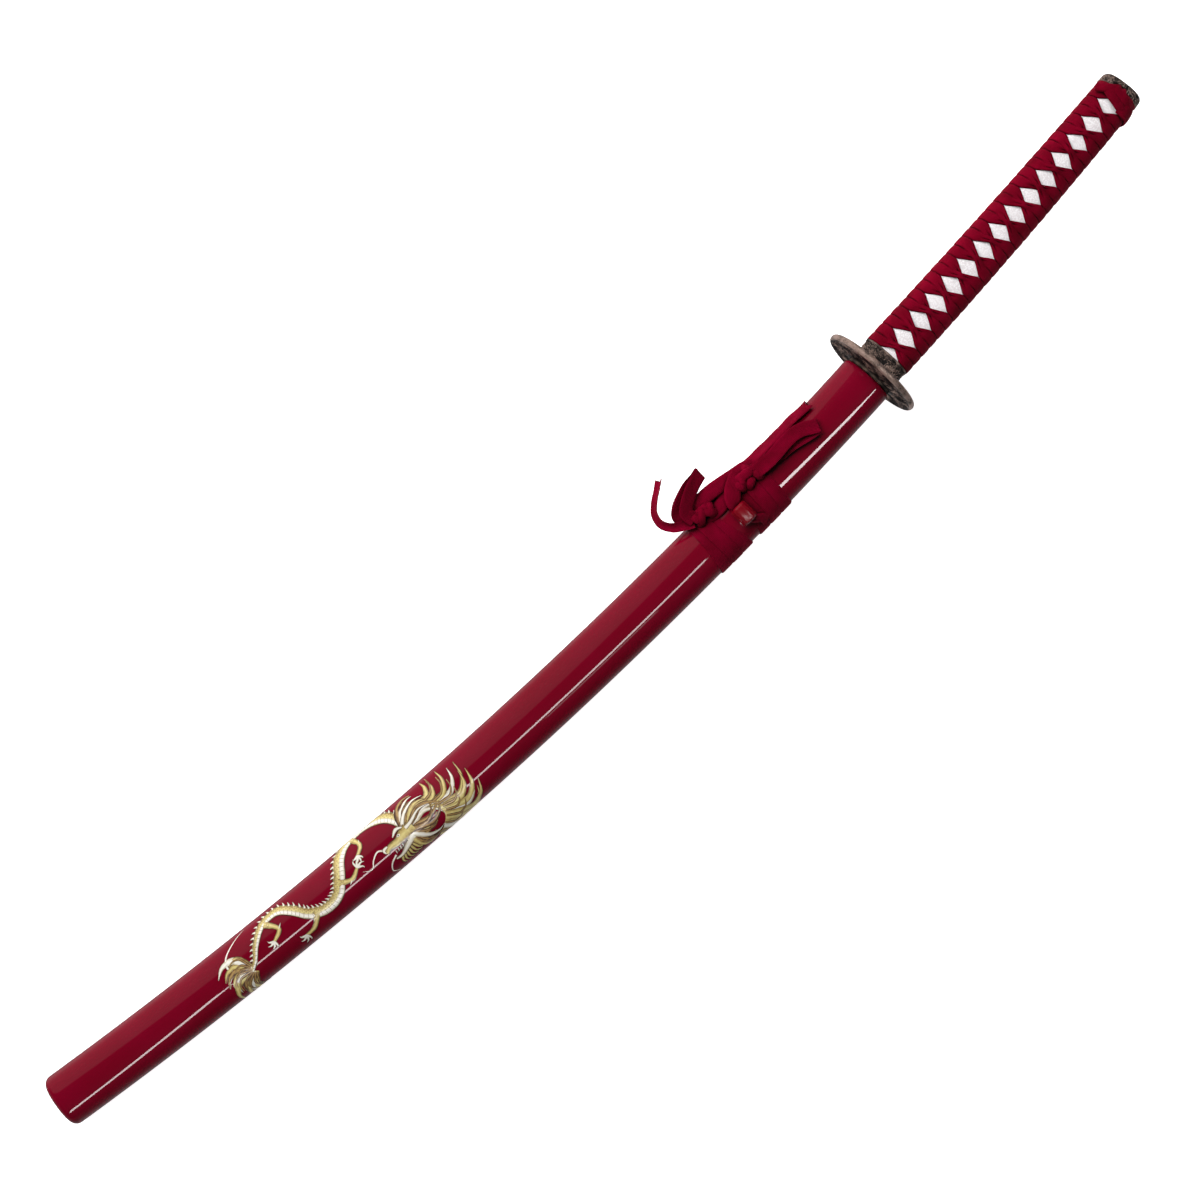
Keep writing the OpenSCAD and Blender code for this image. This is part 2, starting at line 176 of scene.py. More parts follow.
def stand(obj, spot, along, back):
    """Puts a camera or a light at a spot, with its x axis along one direction and its back to another."""
    turned = Matrix([list(along), list(np.cross(back, along)), list(back)]).transposed()
    obj.matrix_world = Matrix.Translation(Vector(spot)) @ turned.to_4x4()


def smoothstep(x):
    x = np.clip(x, 0, 1)
    return x * x * (3 - 2 * x)


def grid_faces(rows, columns, wrap_rows=False, wrap_columns=True):
    """Quads of a grid of points, whose rows and columns may close on themselves."""
    i = np.arange(rows if wrap_rows else rows - 1)[:, None]
    j = np.arange(columns if wrap_columns else columns - 1)[None, :]
    i2, j2 = (i + 1) % rows, (j + 1) % columns
    quads = np.stack([i * columns + j, i * columns + j2, i2 * columns + j2, i2 * columns + j], -1)
    return quads.reshape(-1, 4).tolist()


class Build:
    """Collects points, faces and point values of one piece."""

    def __init__(self):
        self.points, self.faces, self.values, self.paint = [], [], {}, []
        self.count = 0

    def add(self, points, faces, paint=0, **values):
        points = np.asarray(points, float).reshape(-1, 3)
        self.points.append(points)
        self.faces += [[i + self.count for i in face] for face in faces]
        self.paint += [paint] * len(faces)
        for key, value in values.items():
            value = np.asarray(value, float).reshape(len(points), -1)
            self.values.setdefault(key, []).append(value)
        self.count += len(points)

    def loft(self, rings, closed=False, caps=True, paint=0, **values):
        """Skins closed rings of points, given as an array of (rings, points, 3)."""
        rows, columns = rings.shape[:2]
        faces = grid_faces(rows, columns, wrap_rows=closed)
        if caps and not closed:
            faces.append(list(range(columns)))
            faces.append([(rows - 1) * columns + j for j in range(columns)])
        self.add(rings, faces, paint, **values)

    def piece(self, name, materials, body, slot=None, sharp=60, nodes=(), welded=False):
        """Makes the visible piece, lets it ride on its body and takes the place of its CAD nodes."""
        mesh = bpy.data.meshes.new(name)
        mesh.from_pydata(np.concatenate(self.points).tolist(), [], self.faces)
        for key, parts in self.values.items():
            value = np.concatenate(parts)
            kind = "FLOAT_VECTOR" if value.shape[1] == 3 else "FLOAT"
            attribute = mesh.attributes.new(key, kind, "POINT")
            field = "vector" if value.shape[1] == 3 else "value"
            attribute.data.foreach_set(field, value.astype(np.float32).ravel())
        mesh.polygons.foreach_set("material_index", self.paint)
        work = bmesh.new()
        work.from_mesh(mesh)
        bmesh.ops.recalc_face_normals(work, faces=work.faces)
        work.to_mesh(mesh)
        work.free()
        mesh.polygons.foreach_set("use_smooth", [True] * len(mesh.polygons))
        mesh.set_sharp_from_angle(angle=math.radians(sharp))
        for material in materials if isinstance(materials, list) else [materials]:
            mesh.materials.append(material)
        obj = add_object(name, mesh)
        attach(obj, body)
        if welded:
            weld(obj)
        if nodes:
            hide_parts(*nodes)
        return obj


def weld(obj):
    """Joins points of stretches that meet edge to edge, and turns all faces outwards."""
    work = bmesh.new()
    work.from_mesh(obj.data)
    bmesh.ops.remove_doubles(work, verts=work.verts, dist=WELD_MM * MM)
    bmesh.ops.recalc_face_normals(work, faces=work.faces)
    work.to_mesh(obj.data)
    work.free()


def refine(route, parts):
    """Catmull-Rom curve through the route's points, with each stretch cut into parts."""
    route = np.asarray(route, float)
    last = len(route) - 1
    fine = []
    for i in range(last):
        a, b, c, d = route[max(i - 1, 0)], route[i], route[i + 1], route[min(i + 2, last)]
        for k in range(parts):
            f = k / parts
            turn = c - a + f * (2 * a - 5 * b + 4 * c - d + f * (3 * (b - c) + d - a))
            fine.append(b + 0.5 * f * turn)
    fine.append(route[-1])
    return np.array(fine)


def unit(v):
    return v / np.linalg.norm(v, axis=-1, keepdims=True)


def carried(tangents):
    """Width directions carried along a route without twisting."""
    wide = unit(np.cross(tangents[0], N_AXIS))
    found = []
    for tangent in tangents:
        wide = unit(wide - np.dot(wide, tangent) * tangent)
        found.append(wide)
    return np.array(found)


TOP_V = np.linspace(-1, 1, 13)
EDGE_SHARE = 0.15


def flat_section(width, thickness, cup=0.0):
    """Flat cord's outline: (across, height) points in millimetres, with round edges and a slight cup."""
    edge = np.sqrt(np.clip(1 - np.abs(TOP_V) ** 7, 0, 1)) * (1 - EDGE_SHARE) + EDGE_SHARE
    rise = cup * TOP_V**2
    top = np.stack([TOP_V * width / 2, edge * thickness / 2 + rise], -1)
    bottom = np.stack([TOP_V[::-1] * width / 2, -edge[::-1] * thickness / 2 + rise[::-1]], -1)
    return np.concatenate([top, bottom])


def ribbon(build, route, width, thickness, cup=0.0, parts=8, notch=0.0, widths=None, wobble=0.0, seed=0):
    """Adds a flat cord along [s, t, n, roll] points to a build, and returns its centre line in metres."""
    fine = refine([list(p) + [0] * (4 - len(p)) for p in route], parts)
    points = place(fine[:, 0], fine[:, 1], fine[:, 2])
    tangents = unit(np.gradient(points, axis=0))
    flat_wide = carried(tangents)
    flat_normal = np.cross(flat_wide, tangents)
    roll = np.radians(fine[:, 3])[:, None]
    wide = flat_wide * np.cos(roll) + flat_normal * np.sin(roll)
    normal = flat_normal * np.cos(roll) - flat_wide * np.sin(roll)
    along = np.concatenate([[0], np.cumsum(np.linalg.norm(np.diff(points, axis=0), axis=1))]) / MM
    rings, cloth = [], []
    for i in range(len(points)):
        share = i / (len(points) - 1)
        local = width if widths is None else width * np.interp(share, *zip(*widths))
        ripple = wobble * noise.noise(Vector((along[i] * 0.09, seed, 0.5)))
        section = flat_section(local, thickness, cup + ripple)
        ring = points[i] + MM * (section[:, :1] * wide[i] + section[:, 1:] * normal[i])
        if notch and i == len(points) - 1:
            depth = notch * (1 - np.abs(section[:, :1]) / (local / 2)) * 2 - notch
            ring = ring - MM * depth * tangents[i]
        rings.append(ring)
        cloth.append(np.stack([section[:, 0], np.full(len(section), along[i]), section[:, 1]], -1))
    build.loft(np.array(rings), cloth=np.array(cloth))
    return points


# ---- material helpers ----


class Shader:
    """A node material with short calls for the nodes it needs."""

    def __init__(self, name, **sockets):
        self.material = bpy.data.materials.new(name)
        self.material.use_nodes = True
        self.tree = self.material.node_tree
        self.base = self.tree.nodes["Principled BSDF"]
        for key, value in sockets.items():
            self.base.inputs[key.replace("_", " ")].default_value = value

    def node(self, kind, inputs=None, **properties):
        made = self.tree.nodes.new("ShaderNode" + kind)
        for key, value in properties.items():
            setattr(made, key, value)
        for key, value in (inputs or {}).items():
            if isinstance(value, bpy.types.NodeSocket):
                self.tree.links.new(value, made.inputs[key])
            else:
                made.inputs[key].default_value = value
        return made

    def noise(self, scale, detail, roughness=0.55, vector=None):
        vector = vector or self.place()
        inputs = {"Vector": vector, "Scale": scale, "Detail": detail, "Roughness": roughness}
        return self.node("TexNoise", inputs).outputs["Fac"]

    def place(self):
        return self.node("TexCoord").outputs["Object"]

    def attribute(self, name, kind="Vector"):
        return self.node("Attribute", attribute_name=name).outputs[kind]

    def math(self, operation, a, b=0.0):
        return self.node("Math", {0: a, 1: b}, operation=operation).outputs[0]

    def plus(self, a, b, share):
        """a and a share of b, added."""
        return self.math("ADD", a, self.math("MULTIPLY", b, share))

    def sway(self, a, b, share):
        """a, moved up or down by a share of how far b lies from its middle."""
        return self.plus(a, self.math("SUBTRACT", b, 0.5), share)

    def parts(self, name):
        """The three numbers of a vector that the mesh carries."""
        return self.node("SeparateXYZ", {"Vector": self.attribute(name)}).outputs

    def stretched(self, scale):
        return self.node("Mapping", {"Vector": self.place(), "Scale": scale}).outputs[0]

    def remap(self, value, low, high, to_low=0.0, to_high=1.0):
        inputs = {"Value": value, "From Min": low, "From Max": high, "To Min": to_low, "To Max": to_high}
        return self.node("MapRange", inputs, interpolation_type="SMOOTHSTEP").outputs[0]

    def ramp(self, value, *stops):
        """Colour ramp through (place, colour) stops."""
        made = self.node("ValToRGB", {"Fac": value})
        elements = made.color_ramp.elements
        while len(elements) < len(stops):
            elements.new(0.5)
        for element, (position, colour) in zip(elements, stops):
            element.position = position
            element.color = (*colour, 1)
        return made.outputs["Color"]

    def mix(self, factor, a, b):
        """Mix of two colours, each a socket or a plain colour."""
        a, b = (value if isinstance(value, bpy.types.NodeSocket) else (*value, 1) for value in (a, b))
        return self.node("Mix", {0: factor, 6: a, 7: b}, data_type="RGBA").outputs[2]

    def set(self, name, socket):
        self.tree.links.new(socket, self.base.inputs[name])

    def colour(self, value, *stops):
        self.set("Base Color", self.ramp(value, *stops))

    def bump(self, height, strength, distance_mm, below=None):
        inputs = {"Height": height, "Strength": strength, "Distance": distance_mm * MM}
        if below:
            inputs["Normal"] = below
        return self.node("Bump", inputs).outputs[0]


# Reach and near-black red of the painted shade that darkens the cloth's creases
CREASE_MM = 7.0
PAINTED_CREASE_SHADE = (0.022, 0.0, 0.001)


def cloth_material(name, dark, light, rib_mm, twill_mm):
    """Woven cotton or silk cord: ribs along it, a fine twill across them, worn, uneven dye and painted shade
    in its creases.
    """
    shader = Shader(name, Roughness=0.9, Sheen_Weight=0.08, Sheen_Roughness=0.4, Specular_IOR_Level=0.06)
    shader.base.inputs["Sheen Tint"].default_value = (1.0, 0.02, 0.08, 1)
    across, along, _ = shader.parts("cloth")
    rib = shader.math("SINE", shader.math("MULTIPLY", across, FULL_TURN / rib_mm))
    slant = shader.plus(across, along, 0.8)
    twill = shader.math("SINE", shader.math("MULTIPLY", slant, FULL_TURN / twill_mm))
    weave = shader.plus(rib, twill, 0.5)
    fibre = shader.noise(2600, 4)
    blotch = shader.noise(60, 3)
    shade = shader.plus(shader.plus(blotch, weave, 0.12), fibre, 0.25)
    # Painted shade: the colour darkens where nearby cord or scabbard closes in, in creases and under strands
    open_air = shader.node("AmbientOcclusion", {"Distance": CREASE_MM * MM}, samples=8).outputs["AO"]
    crease = shader.remap(open_air, 0.28, 0.97)
    dyed = shader.ramp(shade, (0.35, dark), (0.95, light))
    shader.set("Base Color", shader.mix(crease, PAINTED_CREASE_SHADE, dyed))
    rough = shader.bump(fibre, 0.35, 0.12)
    shader.set("Normal", shader.bump(weave, 0.55, 0.09, rough))
    return shader.material


def lacquer_material(name, deep, light, coat_roughness=0.03):
    """Glossy coloured lacquer under a clear coat, with a faint orange peel and specks of dust."""
    shader = Shader(name, Coat_Weight=1.0, Coat_Roughness=coat_roughness, Specular_IOR_Level=0.02)
    shader.colour(shader.noise(14, 4), (0.3, deep), (0.75, light))
    shader.set("Roughness", shader.remap(shader.noise(1800, 2), 0.55, 0.75, 0.36, 0.55))
    shader.set("Normal", shader.bump(shader.noise(420, 2), 0.05, 0.05))
    shader.set("Coat Normal", shader.bump(shader.noise(120, 2), 0.02, 0.05))
    return shader.material


def patina_material(name, pit, body, worn):
    """Cast metal with a dark patina in the hollows and worn, brighter high places."""
    shader = Shader(name, Metallic=0.55)
    relief = shader.attribute("relief", "Fac")
    grain = shader.noise(1500, 5)
    cloud = shader.noise(170, 4)
    level = shader.sway(shader.sway(relief, cloud, 0.7), grain, 0.35)
    shader.colour(level, (0.22, pit), (0.52, body), (0.88, worn))
    shader.set("Roughness", shader.remap(level, 0.1, 0.9, 0.62, 0.32))
    shader.set("Normal", shader.bump(shader.math("ADD", grain, cloud), 0.4, 0.12))
    return shader.material


def copper_material():
    """Plain worked copper with fine file marks along one way of the object."""
    shader = Shader("collar_copper", Metallic=1.0)
    marks = shader.noise(900, 5, vector=shader.stretched((1, 8, 1)))
    stain = shader.noise(90, 4)
    shade = shader.plus(shader.math("MULTIPLY", marks, 0.5), stain, 0.5)
    shader.colour(shade, (0.3, (0.5, 0.2, 0.1)), (0.7, (0.8, 0.42, 0.25)))
    shader.set("Roughness", shader.remap(stain, 0.3, 0.7, 0.225, 0.39))
    shader.set("Normal", shader.bump(marks, 0.25, 0.04))
    return shader.material


def wood_material(name, dark, light, scale=(3, 60, 60)):
    """Straight-grained plain wood with its grain along the sword."""
    shader = Shader(name, Roughness=0.7)
    lie = shader.stretched(scale)
    grain = shader.noise(9, 6, 0.65, vector=lie)
    pores = shader.noise(70, 3, 0.6, vector=lie)
    shade = shader.plus(shader.math("MULTIPLY", grain, 0.75), pores, 0.25)
    shader.colour(shade, (0.3, dark), (0.7, light))
    shader.set("Normal", shader.bump(shade, 0.4, 0.15))
    return shader.material


def ray_skin_material():
    """White ray skin: packed round nodules, darker in the hollows between them."""
    shader = Shader("white_ray_skin", Roughness=0.4, Specular_IOR_Level=0.4)
    cells = shader.node("TexVoronoi", {"Vector": shader.place(), "Scale": 900.0, "Randomness": 0.8})
    nodule = shader.remap(cells.outputs["Distance"], 0.1, 0.62, 1.0, 0.0)
    tint = shader.plus(nodule, shader.noise(300, 3), 0.3)
    shader.colour(tint, (0.1, (0.74, 0.69, 0.7)), (0.5, (0.88, 0.85, 0.86)), (1.0, (0.93, 0.91, 0.92)))
    shader.set("Normal", shader.bump(nodule, 0.5, 0.18))
    return shader.material


def blade_material():
    """Polished steel with a cloudy tempered edge and a satin ground body."""
    shader = Shader("blade_steel", Metallic=0.65)
    along, across, _ = shader.parts("steel")
    wave = shader.noise(0.075, 3, 0.6, vector=shader.node("CombineXYZ", {"X": along}).outputs[0])
    line = shader.plus(0.53, wave, 0.34)
    temper = shader.remap(shader.math("SUBTRACT", across, line), -0.03, 0.05)
    grain = shader.noise(120, 6, 0.6, vector=shader.stretched((1, 20, 20)))
    body = shader.ramp(grain, (0.3, (0.36, 0.37, 0.39)), (0.7, (0.5, 0.51, 0.53)))
    shader.set("Base Color", shader.mix(temper, body, (0.78, 0.79, 0.8)))
    shader.set("Roughness", shader.remap(temper, 0, 1, 0.16, 0.34))
    shader.set("Normal", shader.bump(grain, 0.06, 0.03))
    return shader.material


def paint_material(name, dark, middle, light):
    """Brushed paint: dark at its outline, light in the middle, with streaks along each stroke."""
    shader = Shader(name, Roughness=0.3, Coat_Weight=0.6, Coat_Roughness=0.08)
    along, across, tone = shader.parts("stroke")
    lie = shader.node("CombineXYZ", {"X": shader.math("MULTIPLY", along, 0.12), "Y": across, "Z": tone})
    streak = shader.noise(3.2, 4, 0.6, vector=lie.outputs[0])
    level = shader.plus(1.0, shader.math("ABSOLUTE", across), -0.75)
    level = shader.sway(shader.sway(level, streak, 1.1), tone, 1.0)
    shader.colour(level, (0.2, dark), (0.55, middle), (0.95, light))
    shader.set("Normal", shader.bump(streak, 0.25, 0.05))
    return shader.material


CORD_CLOTH = cloth_material("crimson_cord", (0.095, 0.0, 0.006), (0.215, 0.0, 0.018), 0.95, 0.7)
BRAID_CLOTH = cloth_material("crimson_braid", (0.09, 0.0, 0.005), (0.22, 0.0, 0.015), 1.0, 0.8)
LACQUER = lacquer_material("crimson_lacquer", (0.145, 0.0, 0.008), (0.175, 0.0, 0.013))
KNOB_LACQUER = lacquer_material("crimson_knob", (0.16, 0.0, 0.004), (0.19, 0.0, 0.008), 0.22)
BRONZE = patina_material(
    "antique_bronze", (0.012, 0.009, 0.008), (0.118, 0.084, 0.07), (0.4, 0.275, 0.225)
)
BRASS = patina_material("dull_brass", (0.02, 0.015, 0.012), (0.1, 0.075, 0.06), (0.32, 0.22, 0.15))
COPPER = copper_material()
STEEL = blade_material()
WOOD = wood_material("pale_wood", (0.36, 0.22, 0.11), (0.6, 0.42, 0.24))
BAMBOO = wood_material("bamboo", (0.25, 0.14, 0.05), (0.5, 0.32, 0.13), (60, 60, 4))
RAY_SKIN = ray_skin_material()


# ---- camera ----

CAMERA_DISTANCE = 1.25
CAMERA_S, CAMERA_T = -239.0, -26.5
SWORD_RISE_DEG = 44.09
VIEW_WIDTH = 0.84
SENSOR_MM = 36.0


def make_camera():
    """Looks square at the front, with the sword rising to the right."""
    data = bpy.data.cameras.new("camera")
    data.sensor_width = SENSOR_MM
    data.lens = SENSOR_MM * CAMERA_DISTANCE / VIEW_WIDTH
    obj = add_object("camera", data)
    rise = math.radians(SWORD_RISE_DEG)
    right = math.cos(rise) * U_AXIS - math.sin(rise) * V_AXIS
    stand(obj, place(CAMERA_S, CAMERA_T, 0) + CAMERA_DISTANCE * N_AXIS, right, N_AXIS)
    bpy.context.scene.camera = obj


make_camera()


# ---- free cords: routes as in the CAD model but for the left bow's roll, in [s, t, n, roll in degrees] ----

CORD_W, CORD_T = 10.0, 1.1
LEFT_TAIL_W = 8.0
BOW_ROLL = 30
RIGHT_BOW_ROUTE = [
    [-101, -13, 17.5, 0], [-89, -11.5, 19, 6], [-80, -11.5, 19.5, 8], [-71, -12, 19.5, 8],
    [-63, -11.5, 19.2, 6], [-56, -9.2, 18.8, 3], [-50.5, -5.6, 18.5, 0], [-46.8, -3, 17, 12],
    [-49.5, -2.9, 15.3, 32], [-56, -4.2, 14.8, 30], [-63, -6, 14.6, 28], [-71, -7.8, 14.4, 26],
    [-80, -9, 14.3, 23], [-89, -11, 14.7, 20], [-96, -13, 14.5, 16],
]
RIGHT_TAIL_ROUTE = [
    [-105, -19, 14.5, 0], [-98, -19.8, 13, 30], [-90, -20.2, 11.5, 45], [-80, -20.2, 10.5, 50],
    [-70, -20, 10, 50], [-60, -19.6, 10, 50], [-50, -19.2, 10, 50], [-40, -18.8, 10, 50],
]
LEFT_BOW_ROUTE = [
    [-153, -20, 16.5, 0], [-154, -27, 19, 0], [-148, -32, 21, 0], [-140, -36, 22, 0],
    [-132, -38.5, 21, 0], [-127.5, -39.5, 18.5, 0], [-131, -40, 16, BOW_ROLL],
    [-139, -39.5, 14.5, BOW_ROLL], [-148, -37, 13.5, BOW_ROLL], [-155.5, -33.5, 12, BOW_ROLL],
    [-159, -28, 11, 0], [-154.5, -21, 12.5, 0],
]
LEFT_TAIL_ROUTE = [
    [-154.5, -19, 15, 0], [-161, -22.5, 14, 10], [-167, -27, 12, 20], [-170.5, -34, 9, 20],
    [-168.5, -42, 5, 15], [-162, -48, 1, 10], [-155, -52.5, -2.5, 10], [-149.5, -56, -5, 10],
]


def free_cord(name, route, far_end, lay, seed, width=CORD_W, **shape):
    """A loose loop or end of the flat cord, from the knot that it leaves."""
    build = Build()
    line = ribbon(build, route, width, CORD_T, parts=10, seed=seed, wobble=0.7, **shape)
    obj = build.piece("cord_" + name, CORD_CLOTH, SCABBARD, "red_cord", nodes=["sageo_" + name])


free_cord("right_bow", RIGHT_BOW_ROUTE, "object", "loose", 3, cup=0.25)
free_cord("right_tail", RIGHT_TAIL_ROUTE, "bare", "loose", 5, notch=1.6, cup=-0.3)
free_cord("left_bow", LEFT_BOW_ROUTE, "object", "loose", 7, cup=0.3)
free_cord("left_tail", LEFT_TAIL_ROUTE, "bare", "hanging", 9, LEFT_TAIL_W, notch=1.2, cup=1.5,
          widths=[(0, 1), (0.3, 0.88), (1, 0.86)])


# ---- scabbard ----

TIP_ROUND = 5.0
MOUTH_ROUND = 2.5
LIP_SHARE, LIP_DEPTH = 1.06, 0.5
SAYA_COLUMNS = 144
NEARLY_FLAT = 1e-9


def saya_stations():
    """(s, inset) of each ring: rounded at the tip and at the mouth, even between them."""
    tip = [(TIP_S + TIP_ROUND * (1 - math.cos(a)), TIP_ROUND * (1 - math.sin(a)))
           for a in np.linspace(0, QUARTER_TURN, 10)]
    body = [(s, 0.0) for s in np.linspace(TIP_S + TIP_ROUND + 3, MOUTH_S - MOUTH_ROUND - 2, 190)]
    mouth = [(MOUTH_S - MOUTH_ROUND * (1 - math.sin(a)), MOUTH_ROUND * (1 - math.cos(a)))
             for a in np.linspace(0, QUARTER_TURN, 8)]
    return tip + body + mouth


def channel_radius(t, n):
    """How far the blade channel's outline lies from its middle, towards the direction (t, n)."""
    reach = np.full(t.shape, np.inf)
    for (t1, n1), (t2, n2) in zip(CHANNEL, CHANNEL[1:] + CHANNEL[:1]):
        nt, nn = n1 - n2, t2 - t1
        level = nt * t1 + nn * n1
        facing = (nt * t + nn * n) / level
        near = np.minimum(reach, 1 / np.maximum(facing, NEARLY_FLAT))
        reach = np.where(facing > NEARLY_FLAT, near, reach)
    return reach


def make_saya():
    """Scabbard in one lacquered piece, with the blade channel open at its mouth."""
    build = Build()
    u = np.arange(SAYA_COLUMNS) / SAYA_COLUMNS * SAYA.length
    t, n, nt, nn = SAYA.at(u)
    outer = [place(s, t - inset * nt, n - inset * nn) for s, inset in saya_stations()]
    way = np.hypot(t, n)
    reach = channel_radius(t / way, n / way)
    ct, cn = t / way * reach, n / way * reach
    rim = [
        place(MOUTH_S, t - MOUTH_ROUND * nt, n - MOUTH_ROUND * nn),
        place(MOUTH_S, ct * LIP_SHARE, cn * LIP_SHARE),
    ]
    lip = [rim[1], place(MOUTH_S - LIP_DEPTH, ct, cn)]
    walls = [place(s, ct, cn) for s in np.linspace(MOUTH_S - LIP_DEPTH, CHANNEL_END_S, 40)]
    whole = [list(range(SAYA_COLUMNS))]
    build.loft(np.array(outer), caps=False)
    build.add(outer[0], whole)
    build.loft(np.array(rim), caps=False)
    build.loft(np.array(lip), caps=False)
    build.loft(np.array(walls), caps=False, paint=1)
    build.add(walls[-1], whole, paint=1)
    build.piece("saya_body", [LACQUER, WOOD], SCABBARD, "red_lacquer", 50,
                ["saya_front_half", "saya_back_half", "koiguchi_ring", "kojiri_cap"], welded=True)


make_saya()

# ---- cord knob ----

KNOB_S, KNOB_T = -126.0, 1.5
KNOB_HALF_S, KNOB_HALF_T = 5.6, 7.25
KNOB_TOP_N, KNOB_FOOT_N = 24.2, 9.5
KNOB_HOLE_N, KNOB_HOLE_R = 18.2, 3.3
KNOB_ROUND = 2.2
KNOB_STEPS = 96


def make_knob():
    """Arched knob with a round hole across the scabbard, rounded at both of its open ends."""
    angle = np.linspace(0, FULL_TURN, KNOB_STEPS, endpoint=False)
    c, s = np.cos(angle), np.sin(angle)

    def arch(inset):
        a = KNOB_HALF_S - inset
        up = KNOB_TOP_N - KNOB_HOLE_N - inset
        down = KNOB_HOLE_N - KNOB_FOOT_N
        top = (np.abs(c / a) ** 2.5 + np.abs(s / up) ** 2.5) ** (-1 / 2.5)
        foot = (np.abs(c / (a + 0.6)) ** 7 + np.abs(s / down) ** 7) ** (-1 / 7)
        return np.where(s > 0, top, foot)

    def ring(across, radius):
        return place(KNOB_S + radius * c, KNOB_T + across, KNOB_HOLE_N + radius * s)

    outer = []
    for f in np.linspace(0, math.pi, 15):
        side = -math.cos(f)
        inset = KNOB_ROUND * (1 - math.sin(f))
        across = math.copysign(KNOB_HALF_T - KNOB_ROUND * (1 - abs(side)), side) if side else 0.0
        outer.append(ring(across, arch(inset)))
    inner = []
    for across in np.linspace(KNOB_HALF_T, -KNOB_HALF_T, 13):
        flare = 0.5 * (abs(across) / KNOB_HALF_T) ** 6
        inner.append(ring(across, np.full(KNOB_STEPS, KNOB_HOLE_R + flare)))
    build = Build()
    build.loft(np.array(outer + inner), closed=True)
    build.piece("kurikata_knob", KNOB_LACQUER, SCABBARD, "red_lacquer", 50, ["kurikata"])


make_knob()


# ---- tied cord: turns, strands and knots ----

ROUND_STEPS = 720
TURN_BLUR = 5.0
TURN_GAP = 0.05
WAVE_R, WAVE_S, WAVE_LIFT = 16.7, 0.35, 0.12


def periodic(u, pairs):
    """Smooth closed curve of values through (u, value) pairs round the scabbard."""
    length = SAYA.length
    fine = np.linspace(0, length, ROUND_STEPS, endpoint=False)
    keys = sorted((key_u % length, value) for key_u, value in pairs)
    raw = np.interp(fine, *zip(*keys), period=length)
    half = int(TURN_BLUR / length * ROUND_STEPS)
    kernel = np.hanning(2 * half + 1)
    kernel /= kernel.sum()
    soft = np.convolve(np.concatenate([raw[-half:], raw, raw[:half]]), kernel, "valid")
    return np.interp(np.mod(u, length), fine, soft, period=length)[:, None]


def turn(build, centre, lift, width, seed):
    """One turn of the flat cord round the scabbard, through (u, s) and (u, height) pairs."""
    u = np.linspace(0, SAYA.length, 220, endpoint=False)
    section = flat_section(width, CORD_T)
    spots = [Vector((math.cos(x / WAVE_R) * 2, math.sin(x / WAVE_R) * 2, seed)) for x in u]
    wave = np.array([noise.noise(spot) for spot in spots])[:, None]
    s = periodic(u, centre) + WAVE_S * wave + section[:, 0]
    sag = WAVE_LIFT * wave * section[:, 0] / width
    height = periodic(u, lift) + CORD_T / 2 + TURN_GAP + section[:, 1] + sag
    cloth = np.stack(np.broadcast_arrays(section[:, 0], u[:, None], section[:, 1]), -1)
    build.loft(on_saya(s, u[:, None], height), closed=True, cloth=cloth)


FRONT, EDGE, BACK, SPINE = 0.0, 26.0, 52.0, -26.0
UPPER_TURNS = [
    ([(SPINE, -100), (-12, -99.8), (FRONT, -100.0), (EDGE, -101.0), (BACK, -101.3)],
     [(FRONT, 0.0)], 10.3),
    ([(SPINE, -109), (-12, -108.4), (FRONT, -109.0), (EDGE, -111.6), (BACK, -111.6)],
     [(SPINE, 0.4), (-6, 0.9), (12, 0.6), (EDGE, 0.05), (BACK, 0.05)], 10.4),
    ([(SPINE, -117), (-12, -115.5), (4, -116.2), (17, -121.3), (EDGE, -122.0), (BACK, -121.8)],
     [(FRONT, 0.0)], 10.2),
]
LOWER_TURNS = [
    ([(SPINE, -146), (-14, -145.8), (FRONT, -144.2), (13, -140.8), (EDGE, -139.3), (BACK, -139.5)],
     [(SPINE, 0.2), (-10, 0.3), (8, 0.1), (EDGE, 0.0), (BACK, 0.0)], 10.4),
    ([(SPINE, -151), (-14, -150.6), (FRONT, -150.4), (13, -150.0), (EDGE, -149.6), (BACK, -149.7)],
     [(SPINE, 1.2), (-10, 1.3), (8, 0.9), (EDGE, 0.15), (BACK, 0.1)], 10.6),
    ([(SPINE, -156), (-14, -156.0), (FRONT, -156.6), (13, -158.9), (EDGE, -159.9), (BACK, -159.8)],
     [(SPINE, 0.2), (-10, 0.3), (8, 0.1), (EDGE, 0.0), (BACK, 0.0)], 10.4),
]


def wound(name, node, turns):
    """Turns of the cord side by side round the scabbard."""
    build = Build()
    for index, (centre, lift, width) in enumerate(turns):
        turn(build, centre, lift, width, index + 2.5)
    build.piece(name, CORD_CLOTH, SCABBARD, "red_cord", nodes=[node])


def knotted(ribbons, first_seed, wobble):
    """Stretches of cord or braid, each given as its route, width, thickness and shape."""
    build = Build()
    for seed, (route, width, thickness, shape) in enumerate(ribbons, first_seed):
        ribbon(build, route, width, thickness, seed=seed, wobble=wobble, **shape)
    return build


def tied(name, node, ribbons):
    """Tied stretches of the flat cord that stand for one CAD node."""
    knotted(ribbons, 20, 0.4).piece(name, CORD_CLOTH, SCABBARD, "red_cord", nodes=[node])


SADDLE_T, SADDLE_CUP = 1.7, -1.1
# Share of a saddle's half span, dip below its level and share of its rise
SADDLE = [
    (-1, -3.2, 0), (-0.86, 0, 0.1), (-0.45, 0, 0.85), (0, 0, 1),
    (0.45, 0, 0.85), (0.86, 0, 0.1), (1, -3.2, 0),
]


def saddle(s, t, n, way_deg, span, rise, width):
    """Short stretch of cord that arches over its neighbours, as in a tight knot."""
    way = math.radians(way_deg)
    ds, dt = math.cos(way) * span / 2, math.sin(way) * span / 2
    route = [(s + share * ds, t + share * dt, n + dip + up * rise) for share, dip, up in SADDLE]
    return route, width, SADDLE_T, {"cup": SADDLE_CUP}


